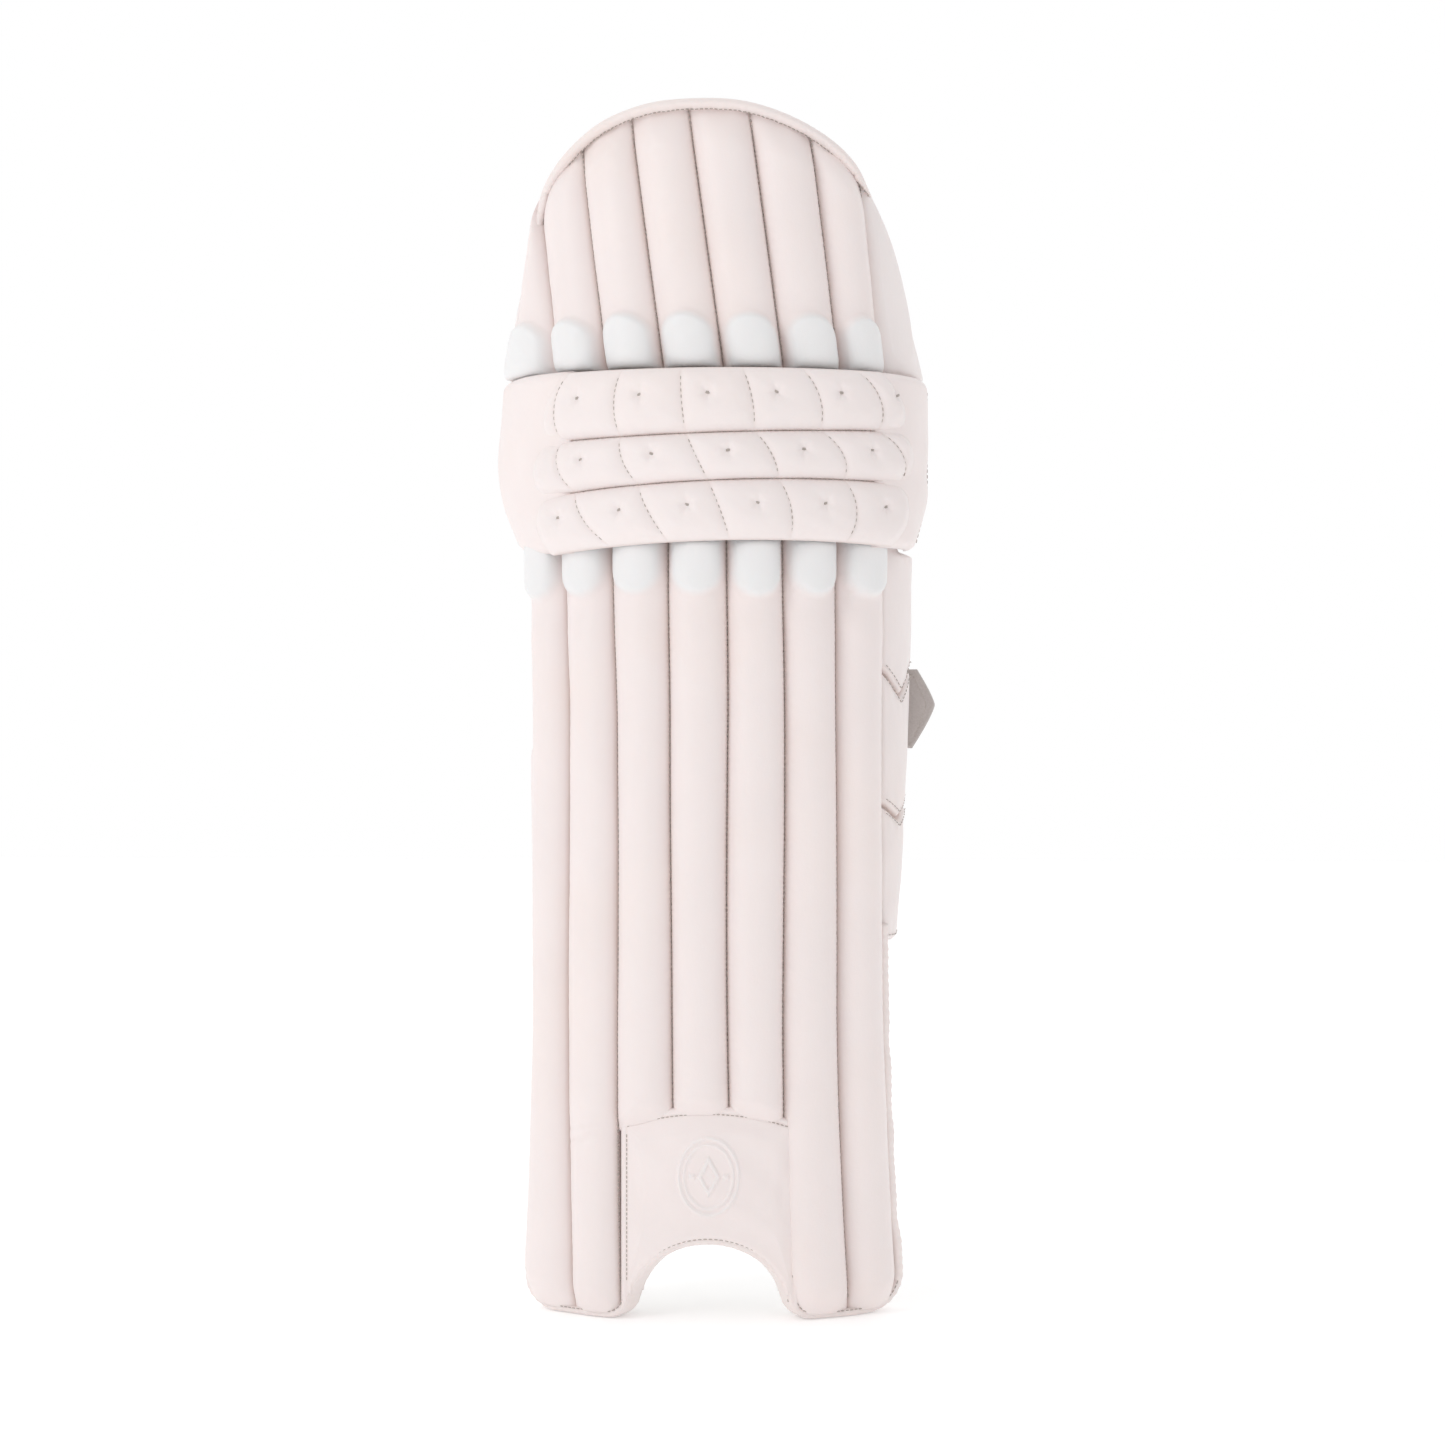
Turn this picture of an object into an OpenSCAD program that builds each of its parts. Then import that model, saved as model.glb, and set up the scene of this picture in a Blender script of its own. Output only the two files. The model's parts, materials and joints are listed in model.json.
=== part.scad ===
// Cricket leg pad that stands on the two lobes of its base.
// The front faces -Y, up is +Z, and the leg runs along Z behind the rolls.
// Each section is drawn in plan round the leg axis, where 0 degrees is the
// front and positive angles are to the right. The whole pad is then moved so
// that the origin is the centre of its box, at the base.

/* [Overall] */
// Height of the whole pad
pad_h = 680; // [660:1:700]
// Height of the fold between the shin and the knee
knee_fold_z = 435; // [430:1:440]
// Height of the fold between the knee and the thigh
thigh_fold_z = 529; // [525:1:533]
// How far behind the leg axis centre plane the side panels stop
side_back_y = -38; // [-42:1:-34]

/* [Rolls] */
// Radius from the leg axis to the seams between the rolls
wrap_r = 134; // [130:1:138]
// How far a roll's crest stands out from its seams
roll_crest = 12; // [8:0.5:12]
// How deep a roll's foam goes behind its seams
roll_back = 15.8; // [14:0.2:17]
// Angle that one shin roll takes up
shin_roll_angle = 13; // [12:0.5:13]
// Angle that one thigh roll takes up
thigh_roll_angle = 13.9; // [13:0.1:14]
// Sideways lean of the thigh rolls
thigh_lean = 7.3; // [4:0.1:9]
// Height of the moulded caps on the roll ends
cap_h = 33; // [25:1:40]
// How far the caps stand out from the rolls
cap_proud = 1.8; // [1:0.2:2]
// Diameter of a cane
cane_d = 8; // [6:0.5:9]

/* [Base] */
// Radius of the instep arch
arch_r = 46; // [42:1:48]
// Sideways place of the instep arch
arch_x = 3; // [0:1:5]
// Radius of the round between the arch and a lobe
lobe_r = 14; // [12:1:16]
// Height of the top of the instep patch
patch_top_z = 118; // [110:1:125]
// Width of the edge binding
binding_w = 5; // [4:0.5:6]

/* [Knee] */
// Heights of the three knee bars, from the bottom
bar_h = [30.5, 26, 36.5]; // [24:0.5:38]
// Radius of the front of the bars
bar_r = 160; // [157:1:162]
// Angles at which the bars stop, left and right
bar_ends = [-38, 48]; // [-50:1:50]
// Angle of each bar's first bar tack, from the bottom bar to the top one
tack_start = [-31, -25.4, -26.3]; // [-34:0.1:-22]
// Angle between one bar tack and the next, along each bar
tack_pitch = [14.2, 15.5, 13.9]; // [13:0.1:16]
// Number of bar tacks along each bar
tack_count = [6, 5, 6]; // [4:1:6]
// Outer half width of the knee's left and right end panels
knee_side_x = [119.5, 122]; // [118:0.5:123]
// How far the end panels hang below the fold
lip_drop = 5; // [3:1:7]

/* [Wings] */
// Outer half width of the outer calf wing
outer_wing_x = 113; // [111:0.5:113]
// Heights of the two chevron grooves in the outer calf wing
chevron_z = [287, 364]; // [260:1:380]
// Height of the bottom of the calf wings
wing_foot_z = 209; // [200:1:220]
// Thickness of the padded wings
wing_t = 11; // [8:0.5:12]

/* [Straps] */
// Thickness of a strap
strap_t = 2.4; // [2:0.2:2.6]
// Heights of the middles of the ankle, calf and knee straps
strap_z = [130, 341, 482]; // [120:1:490]
// Widths of the ankle, calf and knee straps
strap_w = [38, 46, 38]; // [30:1:50]
// Sideways place of the calf strap's tip, which shows beside the wing
calf_tip_x = 128; // [124:1:130]
// Length of the flexible fold where a strap leaves its sewn root
strap_fold = 3.2; // [3:0.1:4]

/* [Motion] */
// Range of the knee fold, in degrees
knee_flex = 20; // [10:1:20]
// Range of the thigh fold, in degrees
thigh_flex = 18; // [10:1:18]

/* [Hidden] */
$fn = 64;
cover_t = 1.4;            // thickness of the covering
fit_gap = 0.2;            // space between pieces that lie on each other
body_gap = 0.5;           // space between pieces that move on each other
clear_r = wrap_r + roll_crest + cap_proud + 1.7; // what passes outside the rolls
backing_t = 4.8;
lining_t = 2;
filler_in_r = wrap_r - roll_back;
backing_r = filler_in_r - fit_gap;
lining_r = backing_r - backing_t - fit_gap;
knee_backing_r = wrap_r - 1;
knee_lining_r = knee_backing_r - 7 - fit_gap;
fold_y = -125;            // both folds bend about this depth
cane_r_at = wrap_r - 2;   // radius at which the canes stand
edge_a = 49;              // angle of the shin's side edges
shin_half_a = 3.5 * shin_roll_angle;
thigh_mid_a = 5.2 - thigh_roll_angle / 2; // angle of the middle of thigh roll 4
thigh_left_a = thigh_mid_a - 3.5 * thigh_roll_angle;
thigh_right_a = thigh_mid_a + 3.5 * thigh_roll_angle;
bar_back_r = wrap_r + 0.5;
bar_round = 8;            // radius of the bars' front corners
bar_lip_h = 16;           // height over which a bar overhangs its neighbour
end_r = bar_r - 3;        // radius of the front of the knee's end panels
end_t = 8;
thigh_r = 108;            // radius of the top of the thigh section
thigh_c = [0, pad_h - thigh_r];
strap_y = side_back_y + 1.6;
hook_t = 1.1;
ankle_edge = [96.5, -79.5];   // where the ankle strap meets the side edges
ankle_back_y = -30;
ankle_rise = ankle_back_y - ankle_edge[1];
ankle_r = (pow(ankle_edge[0], 2) + pow(ankle_rise, 2)) / (2 * ankle_rise);
ankle_c = ankle_back_y - ankle_r;
ankle_half_a = asin(ankle_edge[0] / ankle_r);
pvc = "#f3e9e7";
cap_white = "#eef0f0";
foam = "#e8e2c9";
board = "#d8cfc0";
cloth = "#e9e4dd";
suede = "#c5bcb8";
cane_colour = "#cfae74";
tack_h = 1;               // how far a bar tack stands out from its bar
front_y = -bar_r - fit_gap / 2 - tack_h;
back_y = ankle_back_y + strap_t / 2;
// The pad's box is centred on the origin
pad_shift = [(knee_side_x[0] - calf_tip_x) / 2, -(front_y + back_y) / 2, 0];
rolls = [1:7];

// ---------- outlines ----------

function reversed(v) = [for (i = [len(v) - 1:-1:0]) v[i]];
function polar(r, a) = [r * sin(a), -r * cos(a)];
function arc(r, a0, a1, n) = [for (i = [0:n]) polar(r, a0 + (a1 - a0) * i / n)];

// Arc about a centre in the front view, with angles from +X
function round_pts(c, r, a0, a1, n) =
    [for (i = [0:n]) let (a = a0 + (a1 - a0) * i / n) c + r * [cos(a), sin(a)]];

// Pillow profile of one roll across its angle: u runs from -1 to 1
function roll_r(u, proud) = wrap_r + (roll_crest + proud) * pow(max(0, 1 - u * u), 0.55);
function roll_pts(mid, half, inset, proud, n = 10) =
    [for (i = [0:n]) let (u = -cos(180 * i / n)) polar(roll_r(u, proud) - inset, mid + u * half)];

// Plan of a side panel: a bend out of the wrap at angle a0, then straight back
function side_pts(r, a0, x, t, n = 8) =
    let (rho = (x - r * sin(a0)) / (1 - sin(a0)),
         c = [x - rho, (rho - r) * cos(a0)],
         outer = [for (i = [0:n]) c + polar(rho, a0 + (90 - a0) * i / n)],
         inner = [for (i = [0:n]) c + polar(rho - t, a0 + (90 - a0) * i / n)])
    concat(outer, [[x, side_back_y], [x - t, side_back_y]], reversed(inner));

// Front view of the base: two lobes beside the instep arch, drawn d inside
function base_pts(d) =
    let (r = arch_r + d, f = lobe_r - d, c = [arch_x, -3], top = 700, w = 102.6 - d, k = 20 - d,
         dx = sqrt(pow(arch_r + lobe_r, 2) - pow(lobe_r - c[1], 2)),
         tilt = atan2(lobe_r - c[1], dx))
    concat([[-w, top]],
           round_pts([-w + k, d + k], k, 180, 270, 6),
           round_pts([c[0] - dx, lobe_r], f, 270, 360 - tilt, 8),
           round_pts(c, r, 180 - tilt, tilt, 20),
           round_pts([c[0] + dx, lobe_r], f, 180 + tilt, 270, 8),
           round_pts([w - k, d + k], k, 270, 360, 6),
           [[w, top]]);

// Front view of the thigh section: a round top over straight flanks
function thigh_pts(d) =
    concat([[-119 + d, thigh_fold_z + body_gap]],
           round_pts(thigh_c, thigh_r - d, 173, 10, 32),
           [[121.5 - d, thigh_fold_z + body_gap]]);

// Section of a knee bar: it overhangs its neighbours by lo below and hi above
function bar_pts(z0, z1, lo, hi, d) =
    let (c = bar_round, x0 = bar_back_r + d, x1 = clear_r + d)
    concat([[x0, z0 + lo + d]],
           lo > 0 ? [[x1, z0 + lo + d]] : [],
           [[x1, z0 + d]],
           round_pts([bar_r - c, z0 + c], c - d, -90, 0, 6),
           round_pts([bar_r - c, z1 - c], c - d, 0, 90, 6),
           [[x1, z1 - d]],
           hi > 0 ? [[x1, z1 - hi - d]] : [],
           [[x0, z1 - hi - d]]);

// ---------- shared shapes ----------

module place() translate(pad_shift) children();
module sector(r0, r1, a0, a1, n = 28)
    polygon(concat(arc(r1, a0, a1, n), reversed(arc(r0, a0, a1, n))));
module from_front(pts) translate([0, 20, 0]) rotate([90, 0, 0]) linear_extrude(220) polygon(pts);
module from_side(pts) translate([-150, 0, 0]) rotate([90, 0, 90]) linear_extrude(300) polygon(pts);
module up(z0, z1) translate([0, 0, z0]) linear_extrude(z1 - z0) children();
module base_cut(d) from_front(base_pts(d));
module thigh_cut(d) from_front(thigh_pts(d));

// Leans the thigh section sideways about its fold
module lean()
    translate([0, 0, thigh_fold_z]) rotate([0, -thigh_lean, 0])
        translate([0, 0, -thigh_fold_z]) children();

// A row of rolls as one corrugated sheet
module corrugated(mid, pitch) {
    outer = [for (i = rolls) each roll_pts(mid + (i - 4) * pitch, pitch / 2, 0, 0)];
    inner = [for (i = rolls) each roll_pts(mid + (i - 4) * pitch, pitch / 2, cover_t, 0)];
    polygon(concat(outer, reversed(inner)));
}

// Plan of one roll's foam, with the channel for its cane
module filler_plan(mid, pitch) {
    half = pitch / 2 - 0.15;
    difference() {
        polygon(concat(roll_pts(mid, half, cover_t + fit_gap, 0),
                       reversed(arc(filler_in_r, mid - half, mid + half, 4))));
        translate(polar(cane_r_at, mid)) circle(d = cane_d + 2 * fit_gap);
    }
}

module cap_plan(mid, pitch) {
    half = pitch / 2 - 0.3;
    polygon(concat(roll_pts(mid, half, 0, cap_proud),
                   reversed(arc(filler_in_r, mid - half, mid + half, 4))));
}

module canes(mid, pitch, z0, z1)
    for (i = rolls)
        translate(concat(polar(cane_r_at, mid + (i - 4) * pitch), z0[i - 1]))
            cylinder(d = cane_d, h = z1 - z0[i - 1]);

// ---------- shin ----------

shin_top = knee_fold_z - body_gap;
cap_z = shin_top - cap_h;
function under_patch(i) = i >= 3 && i <= 5;
function roll_foot(i) = under_patch(i) ? patch_top_z : 0;

module shin_facing() color(pvc) place() intersection() {
    difference() {
        up(0, cap_z - fit_gap) corrugated(0, shin_roll_angle);
        up(0, patch_top_z)
            sector(wrap_r - 10, bar_r, -1.5 * shin_roll_angle, 1.5 * shin_roll_angle);
    }
    base_cut(binding_w + fit_gap);
}

module shin_filler(i) color(foam) place() intersection() {
    up(roll_foot(i) + fit_gap, cap_z - fit_gap)
        filler_plan((i - 4) * shin_roll_angle, shin_roll_angle);
    base_cut(binding_w + fit_gap);
}

module shin_canes() color(cane_colour) place()
    canes(0, shin_roll_angle, [for (i = rolls) under_patch(i) ? patch_top_z + 8 : 60], cap_z - 6);

module shin_roll_caps() color(cap_white) place()
    for (i = rolls) up(cap_z, shin_top) cap_plan((i - 4) * shin_roll_angle, shin_roll_angle);

module shin_backing() color(board) place() intersection() {
    up(0, shin_top) sector(backing_r - backing_t, backing_r, -47, 47);
    base_cut(binding_w + fit_gap);
}

module shin_lining() color(cloth) place() intersection() {
    up(0, shin_top) sector(lining_r - lining_t, lining_r, -47, 47);
    base_cut(binding_w + fit_gap);
}

patch_half_a = 1.5 * shin_roll_angle - 0.2;
patch_r = wrap_r + 5.5;
module instep_patch() color(pvc) place() intersection() {
    up(0, patch_top_z - fit_gap)
        sector(patch_r - cover_t, patch_r, -patch_half_a, patch_half_a, 12);
    base_cut(binding_w + fit_gap);
}

module instep_foam() color(foam) place() intersection() {
    up(0, patch_top_z - fit_gap)
        sector(filler_in_r, patch_r - cover_t - fit_gap, -patch_half_a, patch_half_a, 12);
    base_cut(binding_w + fit_gap);
}

module edge_binding() color(pvc) place() difference() {
    intersection() {
        up(0, knee_fold_z - lip_drop - 2) sector(filler_in_r, wrap_r + 1.5, -edge_a, edge_a);
        base_cut(0);
    }
    intersection() {
        up(-1, pad_h)
            sector(filler_in_r - 5, wrap_r + 9, -shin_half_a - 0.3, shin_half_a + 0.3);
        base_cut(binding_w);
    }
}

// Side view of a line across the wing with one chevron in it
chevron_y = [-92, -76, -60];
function chevron(z, drop) =
    [[chevron_y[0] - 10, z], [chevron_y[0], z], [chevron_y[1], z - drop],
     [chevron_y[2], z], [side_back_y + 10, z]];

module outer_wing(z0, drop0, z1, drop1) color(pvc) place() intersection() {
    up(0, shin_top) polygon(side_pts(wrap_r, edge_a + 0.3, outer_wing_x, wing_t));
    from_side(concat(chevron(z0, drop0), reversed(chevron(z1, drop1))));
}

module outer_wing_upper() outer_wing(chevron_z[1] + 1, 16, knee_fold_z - lip_drop - 2, 0);
module outer_wing_middle() outer_wing(chevron_z[0] + 1, 9, chevron_z[1] - 1, 16);
module outer_wing_lower() outer_wing(wing_foot_z, 0, chevron_z[0] - 1, 9);

inner_wing_x = 100;
module inner_wing() color(pvc) place()
    up(wing_foot_z, knee_fold_z - lip_drop - 2)
        translate([-inner_wing_x, -76]) square([wing_t - 1, side_back_y + 76]);

// Upright padded roll on the leg side, with round ends
bolster_r = 11;
bolster_z = [170, 390];
module bolster(a) color(cloth) place()
    translate(polar(lining_r - lining_t - bolster_r - fit_gap, a)) {
        translate([0, 0, bolster_z[0]]) cylinder(r = bolster_r, h = bolster_z[1] - bolster_z[0]);
        for (z = bolster_z) translate([0, 0, z]) sphere(r = bolster_r);
    }
module shin_bolster_left() bolster(-42);
module shin_bolster_right() bolster(42);

// ---------- knee ----------

knee_z0 = knee_fold_z + 1;
bar_z = [knee_z0, knee_z0 + bar_h[0], knee_z0 + bar_h[0] + bar_h[1], thigh_fold_z];
bar_lo = [bar_lip_h, 0, 0];
bar_hi = [0, 0, bar_lip_h];

module bar_section(i, d)
    polygon(bar_pts(bar_z[i] + fit_gap, bar_z[i + 1] - fit_gap, bar_lo[i], bar_hi[i], d));
module along_bar()
    rotate([0, 0, bar_ends[0] - 90]) rotate_extrude(angle = bar_ends[1] - bar_ends[0]) children();

module knee_bar_cover(i) color(pvc) place() along_bar() difference() {
    bar_section(i, 0);
    bar_section(i, cover_t);
}
module knee_bar_core(i) color(foam) place() along_bar() bar_section(i, cover_t + fit_gap);
module knee_bar_cover_bottom() knee_bar_cover(0);
module knee_bar_cover_middle() knee_bar_cover(1);
module knee_bar_cover_top() knee_bar_cover(2);
module knee_bar_core_bottom() knee_bar_core(0);
module knee_bar_core_middle() knee_bar_core(1);
module knee_bar_core_top() knee_bar_core(2);

// Side view of the end panels: the top slopes down behind the thigh fold
thigh_v = thigh_flex / 2 + 1;
function sloped(z, y, a) = z + (y - fold_y) * tan(a);
module end_cut() {
    back = side_back_y + 5;
    z0 = knee_fold_z - lip_drop;
    z1 = thigh_fold_z - fit_gap;
    from_side([[-175, z0], [back, z0], [back, sloped(z1, back, -thigh_v)], [fold_y, z1], [-175, z1]]);
}

module knee_end(a0, x) intersection() {
    up(knee_fold_z - lip_drop, thigh_fold_z) polygon(side_pts(end_r, a0, x, end_t));
    end_cut();
}
module knee_end_left() color(pvc) place()
    mirror([1, 0, 0]) knee_end(-bar_ends[0] + 0.2, knee_side_x[0]);
module knee_end_right() color(pvc) place() knee_end(bar_ends[1] + 0.2, knee_side_x[1]);

// Side view of the knee's inner layers, which taper backwards so that both folds can close
module inner_cut() {
    back = -30;
    z0 = knee_z0;
    z1 = thigh_fold_z - body_gap;
    low = sloped(z0, back, knee_flex + 1);
    high = sloped(z1, back, -thigh_flex - 1);
    from_side([[-175, z0], [fold_y, z0], [back, low], [back, high], [fold_y, z1], [-175, z1]]);
}

module knee_layer(r0, r1, half_a) intersection() {
    up(knee_fold_z - 5, thigh_fold_z + 5) sector(r0, r1, -half_a, half_a);
    inner_cut();
}
module knee_backing() color(board) place() knee_layer(knee_backing_r - 7, knee_backing_r, 48);
module knee_lining() color(cloth) place() knee_layer(knee_lining_r - lining_t, knee_lining_r, 48);
module knee_cushion() color(cloth) place()
    knee_layer(knee_lining_r - lining_t - 19, knee_lining_r - lining_t - fit_gap, 26);

// Stitched bar tacks in the middle of each quilted cell
module knee_tacks() color(suede) place()
    for (i = [0:2], k = [0:tack_count[i] - 1])
        rotate([0, 0, tack_start[i] + k * tack_pitch[i]])
            translate([0, -bar_r - fit_gap / 2, (bar_z[i] + bar_z[i + 1]) / 2])
                rotate([90, 0, 0]) cylinder(d = 3, h = tack_h);

// ---------- thigh ----------

module thigh_layer(d) intersection() {
    lean() children();
    thigh_cut(d);
}
thigh_z0 = thigh_fold_z - 20;
thigh_cap_z = thigh_fold_z + cap_h;

module thigh_facing() color(pvc) place() thigh_layer(binding_w + fit_gap)
    up(thigh_cap_z + fit_gap, pad_h + 20) corrugated(thigh_mid_a, thigh_roll_angle);

module thigh_filler(i) color(foam) place() thigh_layer(binding_w + fit_gap)
    up(thigh_cap_z + fit_gap, pad_h + 20)
        filler_plan(thigh_mid_a + (i - 4) * thigh_roll_angle, thigh_roll_angle);

module thigh_canes() color(cane_colour) place() thigh_layer(16)
    canes(thigh_mid_a, thigh_roll_angle, [for (i = rolls) thigh_cap_z + 6], pad_h + 20);

module thigh_roll_caps() color(cap_white) place() intersection() {
    thigh_layer(binding_w + fit_gap) for (i = rolls)
        up(thigh_z0, thigh_cap_z)
            cap_plan(thigh_mid_a + (i - 4) * thigh_roll_angle, thigh_roll_angle);
    wing_cut();
}

module thigh_backing() color(board) place() thigh_layer(binding_w + fit_gap)
    up(thigh_z0, pad_h + 20) sector(backing_r - backing_t, backing_r, thigh_left_a, thigh_right_a);

module thigh_lining() color(cloth) place() thigh_layer(binding_w + fit_gap)
    up(thigh_z0, pad_h + 20) sector(lining_r - lining_t, lining_r, thigh_left_a, thigh_right_a);

module thigh_piping() color(pvc) place() difference() {
    thigh_layer(0) up(thigh_z0, pad_h + 20) sector(filler_in_r, wrap_r + 4, thigh_left_a, thigh_right_a);
    thigh_cut(binding_w);
}

// Side view of the thigh's sides: the foot slopes up behind the thigh fold
module wing_cut() {
    back = side_back_y + 5;
    z0 = thigh_fold_z + body_gap;
    from_side([[-175, z0], [fold_y, z0], [back, sloped(z0, back, thigh_v - 0.5)],
               [back, pad_h + 20], [-175, pad_h + 20]]);
}
module thigh_wing(a0, x) intersection() {
    thigh_layer(0) up(thigh_z0, pad_h + 20) children();
    wing_cut();
}
module thigh_outer_wing() color(pvc) place() thigh_wing()
    polygon(side_pts(wrap_r + 6, thigh_right_a + 0.5, 121.5, wing_t));
module thigh_inner_wing() color(pvc) place() thigh_wing()
    mirror([1, 0]) polygon(side_pts(wrap_r + 4, -thigh_left_a + 0.5, 118, wing_t));

// ---------- straps ----------

// Front view of a flat strap with a pointed tip at its right end
function strap_pts(x0, x1, w, point) =
    [[x0, -w / 2], [x1 - point, -w / 2], [x1, w * 0.05], [x1 - point, w / 2], [x0, w / 2]];
module flat_strip(pts, y, z, t)
    translate([0, y + t / 2, z]) rotate([90, 0, 0]) linear_extrude(t) polygon(pts);

calf_root_x = [-99.5, -89];
knee_root_x = [-119, -106];
module strap_root(x, i) color(suede) place()
    flat_strip(strap_pts(x[0], x[1], strap_w[i], 0.1), strap_y, strap_z[i], strap_t);
module calf_strap_root() strap_root(calf_root_x, 1);
module knee_strap_root() strap_root(knee_root_x, 2);

module strap(x0, x1, i) color(suede) place()
    flat_strip(strap_pts(x0, x1, strap_w[i], 13), strap_y, strap_z[i], strap_t);
module calf_strap() strap(calf_root_x[1] + strap_fold, calf_tip_x, 1);
module knee_strap() strap(knee_root_x[1] + strap_fold, 120, 2);

hook_y = strap_y - strap_t / 2 - 0.1 - hook_t / 2;
module strap_hooks(x0, x1, i) color(suede) place()
    flat_strip(strap_pts(x0, x1, strap_w[i] - 10, 4), hook_y, strap_z[i], hook_t);
module calf_strap_hooks() strap_hooks(30, 98, 1);
module knee_strap_hooks() strap_hooks(40, 108, 2);

// The ankle strap bows round behind the leg; angles run from the back, positive to the right
module bowed(r0, r1, w, a0, a1) translate([0, ankle_c, strap_z[0] - w / 2])
    rotate([0, 0, 90 - a1]) rotate_extrude(angle = a1 - a0) translate([r0, 0]) square([r1 - r0, w]);
ankle_fold_a = ankle_half_a - 4;
fold_half_a = atan(strap_fold / 2 / ankle_r);
module bowed_strap(a0, a1) color(suede) place()
    bowed(ankle_r - strap_t / 2, ankle_r + strap_t / 2, strap_w[0], a0, a1);
module ankle_strap_root() bowed_strap(-ankle_half_a, -ankle_fold_a - fold_half_a);
module ankle_strap() bowed_strap(-ankle_fold_a + fold_half_a, ankle_half_a);
hook_out_r = ankle_r - strap_t / 2 - 0.1;
module ankle_strap_hooks() color(suede) place()
    bowed(hook_out_r - hook_t, hook_out_r, strap_w[0] - 10, 18, ankle_half_a - 5);

// ---------- nodes ----------

shin_facing();
for (i = rolls) shin_filler(i);
shin_canes();
shin_roll_caps();
shin_backing();
shin_lining();
instep_patch();
instep_foam();
edge_binding();
outer_wing_upper();
outer_wing_middle();
outer_wing_lower();
inner_wing();
shin_bolster_left();
shin_bolster_right();
ankle_strap_root();
calf_strap_root();
knee_bar_cover_bottom();
knee_bar_cover_middle();
knee_bar_cover_top();
knee_bar_core_bottom();
knee_bar_core_middle();
knee_bar_core_top();
knee_end_left();
knee_end_right();
knee_backing();
knee_lining();
knee_cushion();
knee_tacks();
knee_strap_root();
thigh_facing();
for (i = rolls) thigh_filler(i);
thigh_canes();
thigh_roll_caps();
thigh_backing();
thigh_lining();
thigh_piping();
thigh_outer_wing();
thigh_inner_wing();
ankle_strap();
ankle_strap_hooks();
calf_strap();
calf_strap_hooks();
knee_strap();
knee_strap_hooks();
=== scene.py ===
import json
import math

import bpy
import numpy as np
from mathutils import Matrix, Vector


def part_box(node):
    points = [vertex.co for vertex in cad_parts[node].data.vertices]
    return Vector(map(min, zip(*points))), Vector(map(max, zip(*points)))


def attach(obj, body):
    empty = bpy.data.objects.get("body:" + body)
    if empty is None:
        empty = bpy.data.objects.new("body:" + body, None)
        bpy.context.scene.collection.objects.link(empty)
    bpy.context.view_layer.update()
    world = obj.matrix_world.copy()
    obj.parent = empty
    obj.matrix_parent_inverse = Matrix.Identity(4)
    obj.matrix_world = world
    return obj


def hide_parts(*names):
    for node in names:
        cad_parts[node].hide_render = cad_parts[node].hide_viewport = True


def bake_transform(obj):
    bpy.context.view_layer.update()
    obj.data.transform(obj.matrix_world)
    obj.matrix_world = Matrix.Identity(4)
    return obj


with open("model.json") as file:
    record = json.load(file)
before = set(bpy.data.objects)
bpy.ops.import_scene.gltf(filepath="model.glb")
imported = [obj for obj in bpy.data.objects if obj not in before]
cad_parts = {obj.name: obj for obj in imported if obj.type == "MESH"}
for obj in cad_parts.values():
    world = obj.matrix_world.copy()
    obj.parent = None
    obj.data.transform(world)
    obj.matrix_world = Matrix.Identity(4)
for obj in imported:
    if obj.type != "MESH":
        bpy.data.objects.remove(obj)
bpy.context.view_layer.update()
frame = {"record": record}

MM = 0.001

# ---------- places, in millimetres, worked out from the frame ----------
# The pad is drawn in plan round the leg axis: 0 degrees is the front, positive is to the right.
BACKING_R = 118.0        # front radius of the shin's backing board
WRAP_R = 134.0           # radius of the seams between the rolls
ROLL_LIFT = 12.2         # how far a roll's crest stands out from the bottom of its grooves
GROOVE_R = WRAP_R - 0.6
backing_lo, backing_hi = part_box("shin_backing")
AXIS_X = (backing_lo[0] + backing_hi[0]) / 2 / MM
AXIS_Y = backing_lo[1] / MM + BACKING_R
KNEE_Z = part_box("shin_roll_caps")[1][2] / MM
THIGH_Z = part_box("thigh_roll_caps")[0][2] / MM
TOP_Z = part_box("thigh_piping")[1][2] / MM
PATCH_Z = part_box("instep_patch")[1][2] / MM
CAP_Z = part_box("shin_roll_caps")[0][2] / MM
BACK_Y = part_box("knee_end_left")[1][1] / MM - AXIS_Y
BINDING = 4.6            # width of the edge binding and the piping

JOINTS = {joint["name"]: joint for joint in frame["record"]["behaviour"]["joints"]}
FOLD_Y = JOINTS["knee_fold"]["pos_m"][1] / MM - AXIS_Y   # depth of both folds

# Seams between the rolls, in degrees, evenly spaced but for a narrower roll at the edge.
SHIN_PITCH, SHIN_EDGE = 13.4, 11.8
THIGH_PITCH, THIGH_EDGE = 14.3, 12.2
SHIN_SEAMS = [46.0 - SHIN_PITCH * (7 - k) for k in range(8)]
SHIN_SEAMS[0] = SHIN_SEAMS[1] - SHIN_EDGE
THIGH_SEAMS = [-38.0 + THIGH_PITCH * (k - 1) for k in range(8)]
THIGH_SEAMS[7] = THIGH_SEAMS[6] + THIGH_EDGE
THIGH_LEAN = -0.058      # degrees of lean per millimetre of height


def smooth(x, lo, hi):
    """0 below lo, 1 above hi and a smooth step between them."""
    t = np.clip((np.asarray(x, float) - lo) / (hi - lo), 0, 1)
    return t * t * (3 - 2 * t)


def wrap(a, r, z):
    """Points in metres at angle a in degrees, radius r and height z, all broadcast together."""
    a, r, z = np.broadcast_arrays(np.radians(a), r, z)
    return np.stack([AXIS_X + r * np.sin(a), AXIS_Y - r * np.cos(a), z], -1) * MM


def plan_point(x, y, z):
    """Points in metres at x and y from the leg axis and height z."""
    x, y, z = np.broadcast_arrays(x, y, z)
    return np.stack([AXIS_X + x, AXIS_Y + y, z], -1) * MM


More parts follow.
